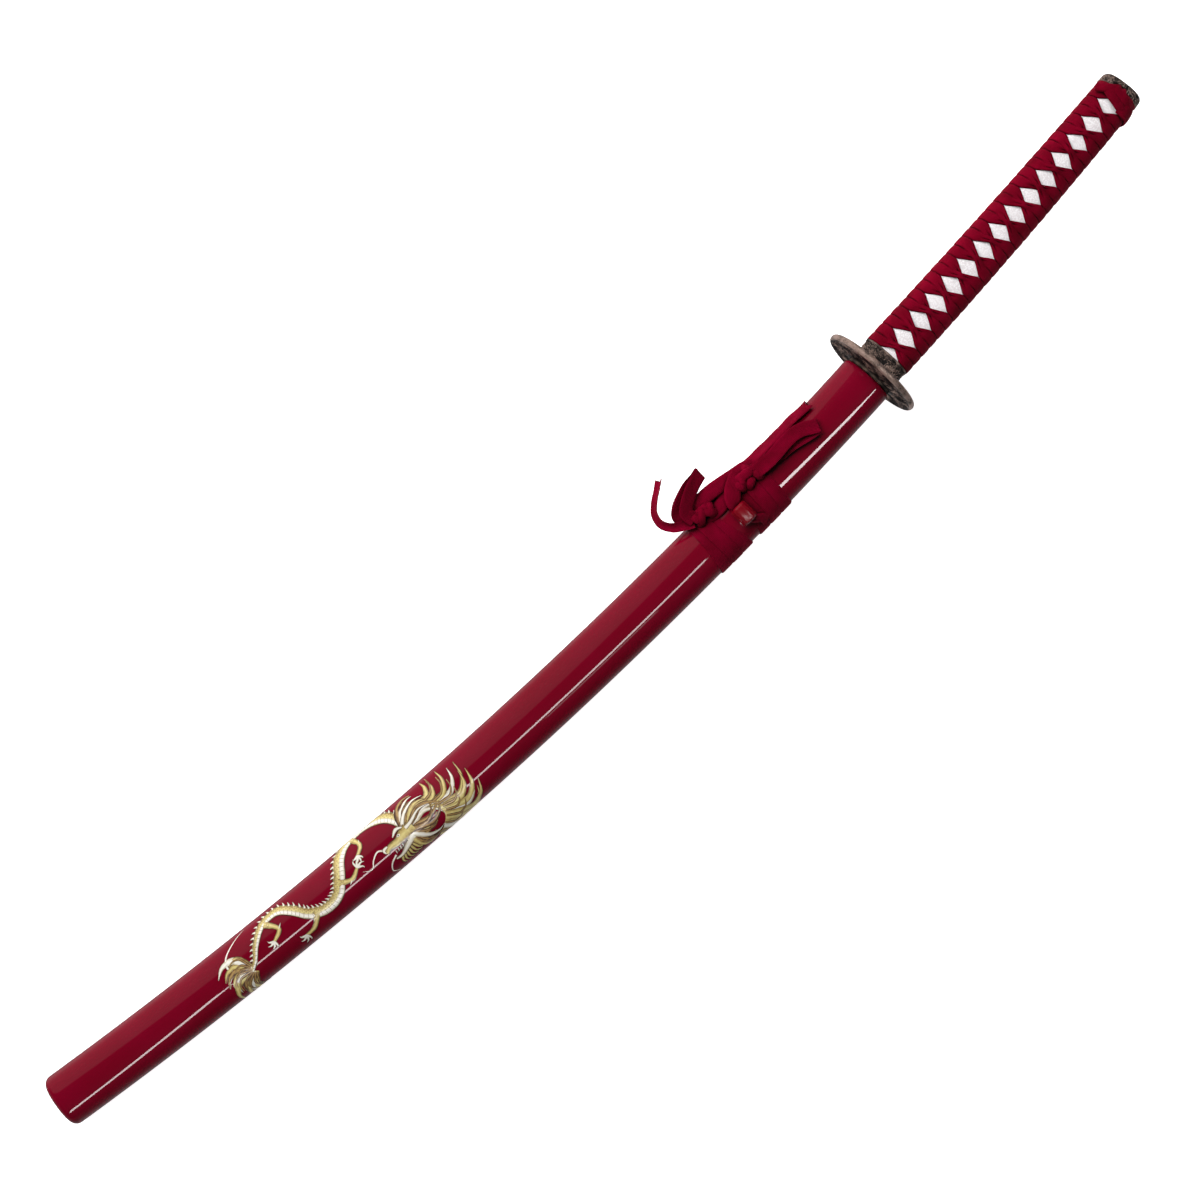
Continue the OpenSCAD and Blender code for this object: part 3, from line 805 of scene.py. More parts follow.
wound("cord_upper_turns", "sageo_upper_wrap", UPPER_TURNS)
wound("cord_lower_turns", "sageo_lower_wrap", LOWER_TURNS)
tied("cord_cross_strand", "sageo_cross_strand", [(
    [(-104.6, -20.4, 12.4), (-109, -20, 16), (-115, -18, 18.4), (-121, -14.4, 19.6), (-125.4, -9.4, 19.9),
     (-126.4, -5.6, 19.0), (-126.3, -2, 18.4)],
    10, 1.4,
    {"cup": -0.5, "widths": [(0, 1), (0.25, 1.2), (0.6, 1.2), (0.78, 1), (0.9, 0.62), (1, 0.6)]})])
tied("cord_through_knob", "sageo_bridge", [(
    [(-126.3, -4, 18.3), (-126, 1, 18.2), (-125.6, 6, 18.1), (-123.6, 9.0, 17.2), (-120.8, 11.2, 15.2),
     (-118.6, 13.4, 13.2), (-117.4, 16, 10.6)],
    6.0, 2.2, {"widths": [(0, 1), (0.5, 1.0), (0.75, 1.1), (1, 1.4)], "cup": -0.3})])
tied("cord_spine_strands", "sageo_spine_strand", [
    ([(-96, -18, 13), (-102, -19.4, 15.4), (-112, -21.4, 16.6), (-122, -23.6, 17.2), (-132, -25.4, 17.2),
      (-141, -25.6, 16.4), (-148, -23.4, 15), (-153, -19.5, 13.4)],
     10.8, 1.5, {"cup": -0.8, "widths": [(0, 0.8), (0.2, 1.0), (1, 1.0)]}),
    ([(-99, -19, 10), (-108, -20.8, 11), (-118, -22.8, 12), (-128, -24.8, 12.5), (-138, -26.2, 12.2),
      (-146, -24.5, 11.5), (-152, -21.5, 11)],
     9.5, 2.2, {"cup": -0.6}),
    ([(-149, -16, 12.8), (-143, -14.4, 14.0), (-136, -13.6, 14.4), (-129, -14.4, 15.0), (-122, -16.5, 16.2),
      (-116, -19, 15.2)],
     10.5, 1.5, {"cup": -0.5}),
    ([(-151, -19, 10.6), (-144, -20.4, 11.2), (-136, -21, 11.8), (-128, -21.2, 12.2), (-119, -20.6, 12.4),
      (-111, -19.4, 12.2)],
     7.5, 1.7, {"cup": -0.5}),
    ([(-101, -19, 12.5), (-110, -21.8, 13.8), (-120, -23.8, 14.6), (-130, -25.6, 14.8), (-140, -26, 14.2),
      (-148, -22.5, 13)],
     9.0, 2.4, {"cup": -0.4}),
])
tied("cord_right_knot", "sageo_right_knot", [
    saddle(-115.0, -13.8, 14.8, 58, 12, 4.4, 6.8),
    saddle(-107.4, -10.4, 14.6, -28, 11, 4.0, 6.6),
    saddle(-100.2, -11.0, 14.4, 72, 11, 3.8, 6.4),
    saddle(-107.5, -16.6, 14.6, 8, 22, 4.9, 7.4),
    saddle(-103.0, -18.6, 13.0, 58, 11, 4.6, 6.6),
    saddle(-111.0, -15.2, 15.4, -60, 12, 4.2, 5.4),
])
tied("cord_left_knot", "sageo_left_knot", [
    saddle(-144.0, -17.6, 14.8, 42, 17, 4.2, 6.0),
    saddle(-147.6, -18.6, 15.2, -48, 15, 4.6, 5.6),
    saddle(-140.2, -17.0, 14.6, -62, 13, 4.0, 5.2),
    saddle(-151.5, -19.2, 13.6, 70, 13, 4.6, 6.6),
    saddle(-145.0, -20.6, 13.8, 4, 18, 4.4, 6.6),
])


# ---- painted dragon: brush strokes laid on the lacquer, as (s, u) places on its unrolled surface ----

PAINTS = {
    "gold": paint_material("gold_paint", (0.09, 0.04, 0.015), (0.46, 0.33, 0.1), (0.66, 0.56, 0.22)),
    "cream": paint_material("cream_paint", (0.34, 0.24, 0.13), (0.66, 0.6, 0.46), (0.8, 0.77, 0.7)),
    "brown": paint_material("brown_paint", (0.02, 0.009, 0.005), (0.13, 0.06, 0.022), (0.42, 0.26, 0.09)),
}
LAYER = 0.035
PAINT_DOME = 0.07
STROKE_SINK = 0.12
STROKE_PITCH = 0.8
STROKE_V = np.linspace(-1, 1, 7)


def even_line(points, count=0):
    """Evenly spaced distances and places along a smooth line, with its ways forward and to its side."""
    fine = refine(points, 12)
    far = np.concatenate([[0], np.cumsum(np.hypot(*np.diff(fine, axis=0).T))])
    along = np.linspace(0, far[-1], count or max(6, int(far[-1] / STROKE_PITCH)))
    line = np.stack([np.interp(along, far, fine[:, k]) for k in (0, 1)], -1)
    way = unit(np.gradient(line, axis=0))
    return along, line, way, np.stack([-way[:, 1], way[:, 0]], -1)


def taper(*widths):
    """Stroke widths at even shares of its length."""
    return list(zip(np.linspace(0, 1, len(widths)), widths))


class Brush:
    """Lays tapering strokes on the scabbard, one build for each paint."""

    def __init__(self, seed):
        self.builds = {name: Build() for name in PAINTS}
        self.random = random.Random(seed)

    def stroke(self, paint, points, widths, layer, tone=0.5):
        """Smooth stroke through (s, u) points; widths are (share of its length, millimetres) pairs."""
        along, line, way, side = even_line(points)
        width = np.interp(along / along[-1], *zip(*widths))[:, None]
        v = np.concatenate([STROKE_V, [1, -1]])
        spots = line[:, None, :] + side[:, None, :] * (v * width / 2)[..., None]
        dome = PAINT_DOME * (1 - STROKE_V**2) * np.clip(width / 3, 0.2, 1)
        height = np.concatenate([LAYER * layer + dome, np.full((len(line), 2), -STROKE_SINK)], 1)
        values = np.stack(np.broadcast_arrays(along[:, None], v, np.full(height.shape, tone)), -1)
        self.builds[paint].loft(on_saya(spots[..., 0], spots[..., 1], height), stroke=values)

    def lined(self, paint, points, widths, layer, tone=0.5, line="brown", rim=0.55):
        """Stroke over a slightly wider one in another paint, which shows as its outline."""
        wider = [(share, width + rim) for share, width in widths]
        self.stroke(line, points, wider, layer, 0.35)
        self.stroke(paint, points, widths, layer + 1, tone)

    def claw(self, s, u, way_deg, reach):
        """Foot with four hooked toes that spread from its pad."""
        self.lined("cream", [(s, u), offset(s, u, way_deg, 2.4)], taper(2.6, 3.4), 7, 0.55)
        for spread in (-62, -22, 18, 60):
            bend = way_deg + spread
            tip = offset(s, u, bend, reach * (1 - abs(spread) / 260))
            knuckle = offset(s, u, bend - 14, reach * 0.6)
            toe = [(0, 1.8), (0.6, 1.3), (1, 0.12)]
            self.lined("cream", [(s, u), knuckle, tip], toe, 8, 0.62, rim=0.4)

    def lock(self, paint, s, u, way_deg, length, width, curl, tone=0.5, layer=4, line="brown"):
        """Tapering lock of mane, tail or flame that bends one way and then back."""
        points = [(s, u)]
        for share, bend in ((0.3, 0.7), (0.6, 0.5), (0.85, -0.35), (1.0, -1.2)):
            points.append(offset(s, u, way_deg + bend * curl, length * share))
        self.lined(paint, points, [(0, width * 0.8), (0.3, width), (0.7, width * 0.5), (1, 0.1)],
                   layer, tone, line)

    def finish(self):
        for paint, build in self.builds.items():
            build.piece(f"dragon_{paint}", PAINTS[paint], SCABBARD)


def offset(s, u, way_deg, length):
    """Place at a distance from (s, u); 0 degrees points to the pommel and 90 to the edge side."""
    way = math.radians(way_deg)
    return (s + length * math.cos(way), u + length * math.sin(way))


DRAGON_LINE = [
    (-593, 9), (-585, 3), (-577, -6), (-566, -14), (-553, -15), (-543, -8), (-535, 1), (-524, 6),
    (-512, 4), (-503, -5), (-496, -15), (-487, -22), (-474, -25), (-461, -22), (-451, -15), (-446, -6),
    (-447, 2),
]
DRAGON_W = [(0, 2.0), (0.12, 4.4), (0.35, 7.4), (0.6, 8.6), (0.85, 9.0), (1, 7.0)]


def paint_body(brush):
    """Winding body: scales on its back, banded belly, and a row of fins along the back."""
    along, line, way, side = even_line(DRAGON_LINE, 260)
    width = np.interp(along / along[-1], *zip(*DRAGON_W))

    def across(i, share):
        return line[i] + side[i] * width[i] * share

    brush.lined("gold", DRAGON_LINE, DRAGON_W, 2, 0.5, rim=0.9)
    belly = line + side * (width * 0.26)[:, None]
    brush.stroke("cream", belly[::8], [(share, w * 0.42) for share, w in DRAGON_W], 5, 0.62)
    for i in range(6, 258, 4):
        a = across(i, 0.06)
        b = across(i, 0.46) + way[i] * 0.5
        middle = (a + b) / 2 + way[i] * 0.3
        brush.stroke("brown", [a, middle, b], taper(0.1, 0.34, 0.14), 7, 0.55)
    for row in range(4):
        share = -0.42 + 0.14 * row
        for i in range(5 + 2 * (row % 2), 256, 4):
            a = across(i, share - 0.07)
            b = across(i, share + 0.07)
            tip = (a + b) / 2 - way[i] * 0.85
            brush.stroke("brown", [a, tip, b], taper(0.12, 0.3, 0.12), 6, 0.5)
    for i in range(14, 250, 5):
        root = across(i, -0.42)
        tip = line[i] - side[i] * (width[i] * 0.5 + 1.9) - way[i] * 1.6
        middle = (root + tip) / 2 + way[i] * 0.3
        brush.lined("cream", [root, middle, tip], taper(1.7, 0.1), 3, 0.6, rim=0.3)


def paint_leg(brush, hip, knee, foot, way_deg, reach=6.0):
    """Bent leg with folds at its thigh, a spur behind its knee and a clawed foot."""
    brush.lined("gold", [hip, knee, foot], [(0, 5.0), (0.45, 3.0), (0.55, 3.4), (1, 1.9)], 5, 0.52)
    for share in (0.15, 0.3):
        s = hip[0] + (knee[0] - hip[0]) * share
        u = hip[1] + (knee[1] - hip[1]) * share
        fold = [(s - 1.2, u - 1), (s, u + 0.6), (s + 1.3, u - 0.6)]
        brush.stroke("brown", fold, taper(0.1, 0.4, 0.1), 8)
    elbow = offset(*knee, way_deg + 165, 4.2)
    brush.lined("cream", [knee, elbow], taper(1.4, 0.1), 6, 0.6, rim=0.35)
    brush.claw(*foot, way_deg, reach)


def paint_head(brush):
    """Head in profile facing the scabbard's tip, with horns, whiskers, beard and a streaming mane."""
    pick = brush.random.uniform
    for i in range(26):
        way = -78 + 156 * ((i * 7) % 26) / 25
        root = offset(-449, 1, way * 0.85, 4.5)
        length = pick(20, 31) * (1 - 0.3 * abs(way) / 78)
        paint = ("brown", "gold", "brown", "brown", "cream")[i % 5]
        line = "gold" if paint == "brown" else "brown"
        width = pick(3.4, 5.2)
        curl = math.copysign(pick(9, 18), way)
        brush.lock(paint, *root, way * 0.86, length, width, curl, pick(0.35, 0.65), 6 + i % 3, line)
    brush.lined("gold", [(-441, 0), (-449, 1), (-456, 2.5), (-463, 2.2), (-467, 4.4)],
                [(0, 9), (0.3, 8.4), (0.55, 5.6), (0.8, 4.2), (1, 2.6)], 10, 0.5, rim=1.0)
    brush.lined("cream", [(-445, 6), (-452, 9), (-459, 11.6), (-464.5, 11.4)],
                taper(5, 3.2, 1.0), 9, 0.5, rim=0.8)
    mouth = [(-450, 6.2), (-456, 7.4), (-462, 8.2)]
    brush.stroke("brown", mouth, taper(0.8, 1.6, 0.3), 12, 0.15)
    for i in range(4):
        s, u = -454.5 - 2.2 * i, 5.8 + 0.25 * i
        brush.stroke("cream", [(s, u), (s - 0.4, u + 2.2)], taper(0.8, 0.1), 13, 0.8)
    brow = [(-447.5, -3.2), (-452, -4.6), (-457, -1.8)]
    brush.lined("cream", brow, taper(1.0, 2.4, 0.6), 13, 0.66)
    brush.stroke("cream", [(-451.6, -0.6), (-454.4, -0.2)], taper(0.6, 2.2, 0.4), 14, 0.9)
    brush.stroke("brown", [(-452.5, -0.5), (-453.6, -0.3)], taper(0.5, 1.2, 0.4), 16, 0.0)
    nostril = [(-464, 0.6), (-467.6, 1.2), (-467.4, 4)]
    brush.lined("cream", nostril, taper(1.2, 2.2, 0.8), 12, 0.62)
    for u, lift in ((-4.5, 0.0), (-1.2, 4.0)):
        horn = [(-446, u), (-440, u - 5 + lift), (-431, u - 8 + lift), (-423, u - 6.5 + lift)]
        brush.lined("cream", horn, [(0, 2.6), (0.4, 1.9), (1, 0.2)], 15, 0.6, rim=0.6)
    long_whisker = [(-466, 3), (-471, -1), (-477, 1.5), (-482, 6), (-488, 3)]
    brush.stroke("cream", long_whisker, [(0, 1.3), (0.6, 0.8), (1, 0.15)], 9, 0.75)
    short_whisker = [(-463, 9), (-469, 12), (-472, 17), (-468, 21)]
    brush.stroke("cream", short_whisker, [(0, 1.2), (0.6, 0.8), (1, 0.15)], 9, 0.75)
    for i in range(6):
        brush.lock("gold", -449 - 2.2 * i, 10.5 + 0.4 * i, 62 + 10 * i, 9 - 0.6 * i, 1.9, 16, 0.55, 7)


def paint_dragon():
    """An invented winding dragon with a tufted tail, between 395 and 613 mm from the mouth."""
    brush = Brush(seed=11)
    pick = brush.random.uniform
    for i in range(11):
        way = 112 + 12.5 * i
        paint = ("gold", "cream", "gold", "brown")[i % 4]
        line = "cream" if paint == "brown" else "brown"
        root = offset(-588, 7, way, 2.0)
        brush.lock(paint, *root, way, pick(17, 25), pick(4.4, 6.2), pick(16, 24), pick(0.4, 0.6), 1, line)
    for i in range(9):
        way = 104 + 17 * i
        brush.lock("brown", *offset(-588, 7, way, 3.0), way, pick(10, 16), 1.5, 20, 0.55, 6, "gold")
    brush.stroke("cream", [(-598, 2), (-603, -4), (-600, -11), (-590, -17), (-580, -21)],
                 [(0, 1.8), (0.4, 1.1), (1, 0.2)], 2, 0.8)
    paint_leg(brush, (-565, -13), (-558, -4), (-566, 1), 160)
    paint_leg(brush, (-530, 4), (-538, 11), (-546, 12), 150, 6.6)
    paint_leg(brush, (-506, -2), (-497, 2), (-489, -2), -20, 6.8)
    paint_leg(brush, (-482, -22), (-478, -13), (-484, -8), 120, 5.6)
    paint_body(brush)
    paint_head(brush)
    for i in range(14):
        share = i / 13
        swell = math.sin(math.pi * share)
        root = (-431 + 13 * swell, 20 - 26 * share)
        paint = ("gold", "gold", "cream", "gold")[i % 4]
        length = pick(22, 34) * (0.75 + 0.35 * swell)
        brush.lock(paint, *root, 44 - 68 * share, length, pick(4.2, 6.0), pick(16, 24), pick(0.42, 0.62),
                   1 + i % 3)
    for i in range(8):
        share = i / 7
        root = (-428 + 12 * math.sin(math.pi * share), 18 - 24 * share)
        brush.lock("brown", *root, 40 - 62 * share, pick(12, 20), 1.6, 20, 0.6, 7, "gold")
    brush.finish()


paint_dragon()

# ---- wrapped handle ----

PITCH = 16.47
CROSSING_S = 31.1
WRAP_TURNS = 14.38
WRAP_LEAD = 0.42
TURN_STEPS = 104
NECK_W, FLAT_W = 4.7, 8.35
DIAMOND_T, CROSSING_T = 10.0, 4.6
OVER_RISE, UNDER_RISE = 1.35, -0.1
BRAID_THICK = 1.7
PLEAT_DEPTH, PLEAT_WIDTH = 0.9, 0.13
STRAND_V = np.linspace(-1, 1, 17)
UNDER_V = np.array([0.97, 0.0, -0.97])
END_SLACK = 0.02


def wrap_strand(build, sign):
    """One braid that winds round the handle; the other one mirrors it, and they cross front and back."""
    turns = np.linspace(-WRAP_LEAD, WRAP_TURNS, int((WRAP_TURNS + WRAP_LEAD) * TURN_STEPS))
    half = np.floor(2 * turns + 0.5)
    side = np.sign(turns - half / 2)
    u = sign * turns * GRIP.length
    t = GRIP.at(u)[0]
    far = np.abs(t) / DIAMOND_T
    crossing = CROSSING_S + half / 2 * PITCH
    s = crossing + side * PITCH / 4 * far / (1 + far**14) ** (1 / 14)
    width = NECK_W + (FLAT_W - NECK_W) * np.clip(np.abs(t) / 9.6, 0, 1) ** 1.15
    over = (np.floor(half / 2) % 2 == 0) == (sign > 0)
    near = np.exp(-((t / CROSSING_T) ** 2))
    base = np.where(over, OVER_RISE, UNDER_RISE) * near
    thick = BRAID_THICK - np.where(over, 0.05, 0.3) * near
    body = 0.3 + 0.7 * np.clip(1 - np.abs(STRAND_V) ** 4.5, 0, 1) ** 0.5
    fold = 0.22 * side[:, None] * (1 - np.clip(np.abs(t) / 9, 0, 1))[:, None]
    reach = smoothstep((np.abs(t) - 0.6) / 1.6) * (1 - smoothstep((np.abs(t) - 4.5) / 5))
    pleat = PLEAT_DEPTH * reach[:, None] * np.exp(-(((STRAND_V - fold) / PLEAT_WIDTH) ** 2))
    drift = np.array([noise.noise(Vector((x * 2.3, sign * 5.0, 1.7))) for x in turns])[:, None]
    high = base[:, None] + thick[:, None] * body - pleat + 0.16 * drift
    low = np.repeat(base[:, None] - 0.05, len(UNDER_V), 1)
    height = np.concatenate([high, low], 1) - BRAID_DEPTH
    across = np.concatenate([STRAND_V, UNDER_V]) * width[:, None] / 2
    all_s = s[:, None] + across
    all_s[:, : len(STRAND_V)] += 0.22 * drift
    inside = np.clip(all_s, WRAP_START_S, WRAP_END_S)
    all_s = inside + END_SLACK * (all_s - inside)
    cloth = np.stack(np.broadcast_arrays(across, np.abs(u)[:, None], height), -1)
    build.loft(on_grip(all_s, u[:, None], height), cloth=cloth)


def make_wrap():
    """Both braids of the handle's wrapping."""
    build = Build()
    wrap_strand(build, 1)
    wrap_strand(build, -1)
    build.piece("handle_braid", BRAID_CLOTH, SWORD, "red_braid", 70, ["tsuka_wrap"])


make_wrap()

# The braid's ends: folded over each other near the pommel and tucked into its slot
END_KNOT = [
    ([(254.6, 21.4, 2), (255.4, 19.2, 8.4), (256.4, 14.6, 12.7), (257.4, 9, 14.8), (258.6, 4.4, 15.4),
      (260.2, 0.4, 15.0), (262.0, -3, 13.4)], 6.2, 1.8, {"cup": -0.7}),
    ([(260.4, 21.8, 2), (261, 19.2, 8.4), (261.8, 15.0, 12.6), (262.6, 11.0, 14.6), (263.8, 8.0, 14.9),
      (266, 6.4, 13.8), (267.8, 6.0, 11.6)], 7.6, 1.8, {"cup": -0.7}),
    ([(259.0, -9, 11.5), (260.6, -5, 13.8), (262.6, -0.8, 15.0), (264.6, 2.6, 14.8), (266.4, 4.6, 13.8),
      (267.8, 5.6, 11.8)], 6.4, 1.7, {"cup": -0.6}),
    ([(257.4, 12, 13.0), (258.0, 17.8, 11.4), (258.2, 21.8, 7.2), (258.2, 23.0, 0), (257.8, 21.6, -7.2),
      (257.2, 17.2, -11.2), (256.6, 11, -12.4)], 10.4, 1.6, {"cup": -0.5}),
    ([(263.4, 18, 10.4), (263.2, 13.6, 13.4), (263.2, 9, 15.0), (263.4, 5, 15.4), (264.4, 2.2, 15.0),
      (266.2, 0.6, 13.6)], 7.4, 1.6, {"cup": -0.6}),
]
end_knot = knotted(END_KNOT, 40, 0.3)
end_knot.piece("handle_end_knot", BRAID_CLOTH, SWORD, "red_braid", nodes=["wrap_end_knot"])


# ---- metal fittings ----

def engraving(a, b, seed, pitch):
    """Cast scroll relief, 0 in its hollows to 1 on its ridges, over two lengths in millimetres."""
    a, b = np.broadcast_arrays(a, b)
    found = np.zeros(a.size)
    for i, (x, y) in enumerate(zip(a.ravel(), b.ravel())):
        turn_way = 3.4 * noise.noise(Vector((x / 7.5, y / 7.5, seed)))
        swirl = 2.2 * noise.noise(Vector((x / 4.2, y / 4.2, seed + 9)))
        phase = (x * math.cos(turn_way) + y * math.sin(turn_way)) / pitch + swirl
        ridge = 1 - abs(math.sin(math.pi * phase))
        found[i] = 0.75 * ridge**0.8 + 0.25 * (0.5 + noise.noise(Vector((x, y, seed + 4)) / 1.3))
    return np.clip(found, 0, 1).reshape(a.shape)


def mottle(a, b, seed, size):
    """Broad, soft unevenness about zero, over two lengths in millimetres."""
    a, b = np.broadcast_arrays(a, b)
    values = [noise.noise(Vector((x / size, y / size, seed))) for x, y in zip(a.ravel(), b.ravel())]
    return np.array(values).reshape(a.shape)


def shaded(carved):
    """Patina level of scroll relief: black hollows and worn ridges."""
    return 0.05 + 0.9 * smoothstep((carved - 0.15) / 0.65)


class Station:
    """Straight frame square to the sword at s: x along it, t across it and n out of the front."""

    def __init__(self, s, shift=0.0):
        self.origin = place(s, shift, 0)
        self.along = unit(place(s + 0.5, shift, 0) - place(s - 0.5, shift, 0))
        self.across = unit(np.cross(self.along, N_AXIS))

    def at(self, x, t, n):
        x, t, n = (value[..., None] for value in np.broadcast_arrays(x, t, n))
        return self.origin + MM * (x * self.along + t * self.across + n * N_AXIS)


STACK = Station(STACK_S)
GUARD_STEPS = 360
GUARD_HOLE = (10.5, 4.0, 3)
GUARD_SEAT = (20.6, 13.6, 2.2)
RIM_START = 0.9
RIM_TURN = np.linspace(0.12, math.pi - 0.12, 15)
RELIEF_DEPTH = 0.95
PETALS = 24


def make_guard():
    """Oval guard: flat seat in the middle, sunk scroll relief around it, and a smooth raised rim."""
    angle = np.linspace(0, FULL_TURN, GUARD_STEPS, endpoint=False)[:, None]

    def oval(a, b, power):
        cs, sn = np.cos(angle), np.sin(angle)
        t = a * np.sign(cs) * np.abs(cs) ** (2 / power)
        return np.stack([t, b * np.sign(sn) * np.abs(sn) ** (2 / power)])

    hole, seat, edge = oval(*GUARD_HOLE), oval(*GUARD_SEAT), oval(GUARD_A, GUARD_B, 2)
    shares = np.concatenate([[-1.0, -0.02], np.linspace(0, 0.8, 44), np.linspace(0.81, RIM_START, 7)])
    petal = 0.5 + 0.5 * np.cos(angle * PETALS)
    rows, reliefs = [], []

    def face(share, way, seed):
        """One face from its hole at share -1 over its seat at 0 to its rim, sunk against its way out."""
        t, n = np.where(share < 0, hole + (seat - hole) * (share + 1), seat + (edge - seat) * share)
        depth = RELIEF_DEPTH * smoothstep(share / 0.05) * (1 - smoothstep((share - 0.78) / 0.06))
        border = np.exp(-(((share - 0.1) / 0.07) ** 2))
        carved = np.clip(engraving(t, n, seed, 3.1) * (1 - border) + petal * border, 0, 1)
        x = GUARD_X + GUARD_LEN * (1 + way) / 2 - way * depth * (1 - carved)
        rows.append(STACK.at(x, t, n))
        level = np.where(depth > 0.05, 0.85 * shaded(carved), 0.4)
        reliefs.append(level - 0.14 + 0.8 * mottle(t, n, 21.0, 8.0))

    face(shares, -1, 3.0)
    t, n = seat + (edge - seat) * (RIM_START + (1 - RIM_START) * np.sin(RIM_TURN))
    level = np.cos(RIM_TURN)
    rows.append(STACK.at(GUARD_X + GUARD_LEN / 2 * (1 - level), t, n))
    streaks = 0.45 * engraving(angle * 34, 6 * level, 15.0, 9.0)
    reliefs.append(0.56 + streaks + 0.5 * mottle(angle * 37, 3 * level, 33.0, 9.0))
    face(shares[::-1], 1, 8.0)
    build = Build()
    build.loft(np.concatenate(rows, 1), closed=True, relief=np.concatenate(reliefs, 1))
    build.piece("guard", BRONZE, SWORD, "dark_bronze", nodes=["tsuba"])


CAST_STEPS = 300
SMOOTH_LEVEL = 0.62


def ringed(outline, profile, seed, relief_depth, pitch):
    """Turns a profile of (x, inset, carved share) rings into a cast collar or cap on an oval outline."""
    u = np.linspace(0, outline.length, CAST_STEPS, endpoint=False)[:, None]
    x, inset, share = np.array(profile, float).T[:, None, :]
    t, n, nt, nn = outline.at(u)
    carved = np.where(share > 0, engraving(u, x, seed, pitch), 1)
    depth = inset + relief_depth * share * (1 - carved)
    relief = np.where(share > 0, shaded(carved), SMOOTH_LEVEL) + 0.5 * mottle(u, x, seed + 2, 5.0)
    return x + 0 * u, t - depth * nt, n - depth * nn, relief


def make_fuchi():
    """Collar between guard and handle: two smooth lips with scroll relief between them."""
    outline = Section(FUCHI_A + 0.3, FUCHI_B + 0.3, GRIP_POWER)
    start = [(0, 4.0), (0, 0.9), (0.25, 0.3), (0.8, 0.0), (1.5, 0.1)]
    end = [(-1.4, 0.1), (-0.7, 0.0), (-0.2, 0.3), (0, 0.8), (0, 2.2), (-6, 2.4)]
    profile = [(FUCHI_X + x, inset, 0) for x, inset in start]
    profile += [(x, 0.35, 1) for x in np.linspace(FUCHI_X + 1.7, FUCHI_END_X - 1.6, 24)]
    profile += [(FUCHI_END_X + x, inset, 0) for x, inset in end]
    profile += [(FUCHI_X + 1.4, 2.4, 0), (FUCHI_X + 1.4, 4.0, 0)]
    x, t, n, relief = ringed(outline, profile, 5.0, 0.95, 2.9)
    build = Build()
    build.loft(STACK.at(x, t, n), closed=True, relief=relief)
    build.piece("handle_collar", BRONZE, SWORD, "dark_bronze", nodes=["fuchi"])


CAP_ROUND, CAP_DOME, CAP_TOP = 3.4, 0.12, 8.2
SLOT_X, SLOT_T, SLOT_DEPTH = 1.9, -2.6, 2.4


def make_cap():
    """Pommel cap: rounded, cast with scrolls, and slotted on the front where the braid goes in."""
    station = Station(CAP_S, grip_t(CAP_S))
    outline = Section(grip_a(CAP_S) + 0.2, grip_b(CAP_S) + 0.2, GRIP_POWER)
    profile = [(0.0, 3.0, 0), (0.0, 0.5, 0), (0.2, 0.1, 0), (0.6, 0.0, 0)]
    profile += [(x, 0.1, 1) for x in np.linspace(0.9, CAP_LEN - CAP_ROUND, 14)]
    for a in np.linspace(0.15, QUARTER_TURN, 12):
        x = CAP_LEN - CAP_ROUND * (1 - math.sin(a))
        profile.append((x, 0.1 + CAP_ROUND * (1 - math.cos(a)), 1))
    for share in np.linspace(0.1, 1.0, 12):
        x = CAP_LEN + CAP_DOME * math.sin(share * QUARTER_TURN)
        profile.append((x, 0.1 + CAP_ROUND + share * CAP_TOP, 1))
    x, t, n, relief = ringed(outline, profile, 12.0, 0.6, 3.2)
    slot = np.exp(-(((x - SLOT_X) / 1.3) ** 4)) * np.exp(-(((t - SLOT_T) / 4.6) ** 4)) * (n > 0)
    relief = relief * (1 - slot)
    rings = station.at(x, t, n - SLOT_DEPTH * slot)
    build = Build()
    build.add(rings, grid_faces(*rings.shape[:2], wrap_rows=True, wrap_columns=False), relief=relief)
    for end in (-1, 0):
        build.add(rings[:, end], [list(range(CAST_STEPS))], relief=relief[:, end])
    build.piece("pommel_cap", BRONZE, SWORD, "dark_bronze", nodes=["kashira"], welded=True)


def make_spacer(name, node, start, length):
    """Thin oval spacer with a finely notched edge."""
    angle = np.linspace(0, FULL_TURN, 480, endpoint=False)[:, None]
    outline = Section(SPACER_A, SPACER_B, SPACER_POWER)
    t, n, nt, nn = outline.at(angle / FULL_TURN * outline.length)
    x = start + np.array([0, 0, 0.25, length - 0.25, length, length])
    inset = np.array([8.0, 0.25, 0.0, 0.0, 0.25, 8.0])
    depth = inset + 0.08 * (1 + np.cos(120 * angle)) * (inset < 1)
    relief = 0.5 + 0.5 * mottle(t + 0 * x, n + 0 * x, 27.0, 5.0)
    build = Build()
    build.loft(STACK.at(x, t - depth * nt, n - depth * nn), closed=True, relief=relief)
    build.piece(name, BRASS, SWORD, "spacer_brass", 40, [node])


make_guard()
make_fuchi()
make_cap()
make_spacer("front_spacer", "seppa_front", 0.0, 2.0)
make_spacer("back_spacer", "seppa_back", 6.6, 1.3)


# ---- blade ----

BLADE_W, BLADE_T = 28.0, 6.6
POINT_S, FULL_END_S = -727.0, -691.0
POINT_LEN = FULL_END_S - POINT_S
BLADE_PROFILE = np.array([0, 0.5, 1, 0.82, 0, -0.82, -1, -0.5])
TANG_S, TANG_END_S = 3.9, 214.0


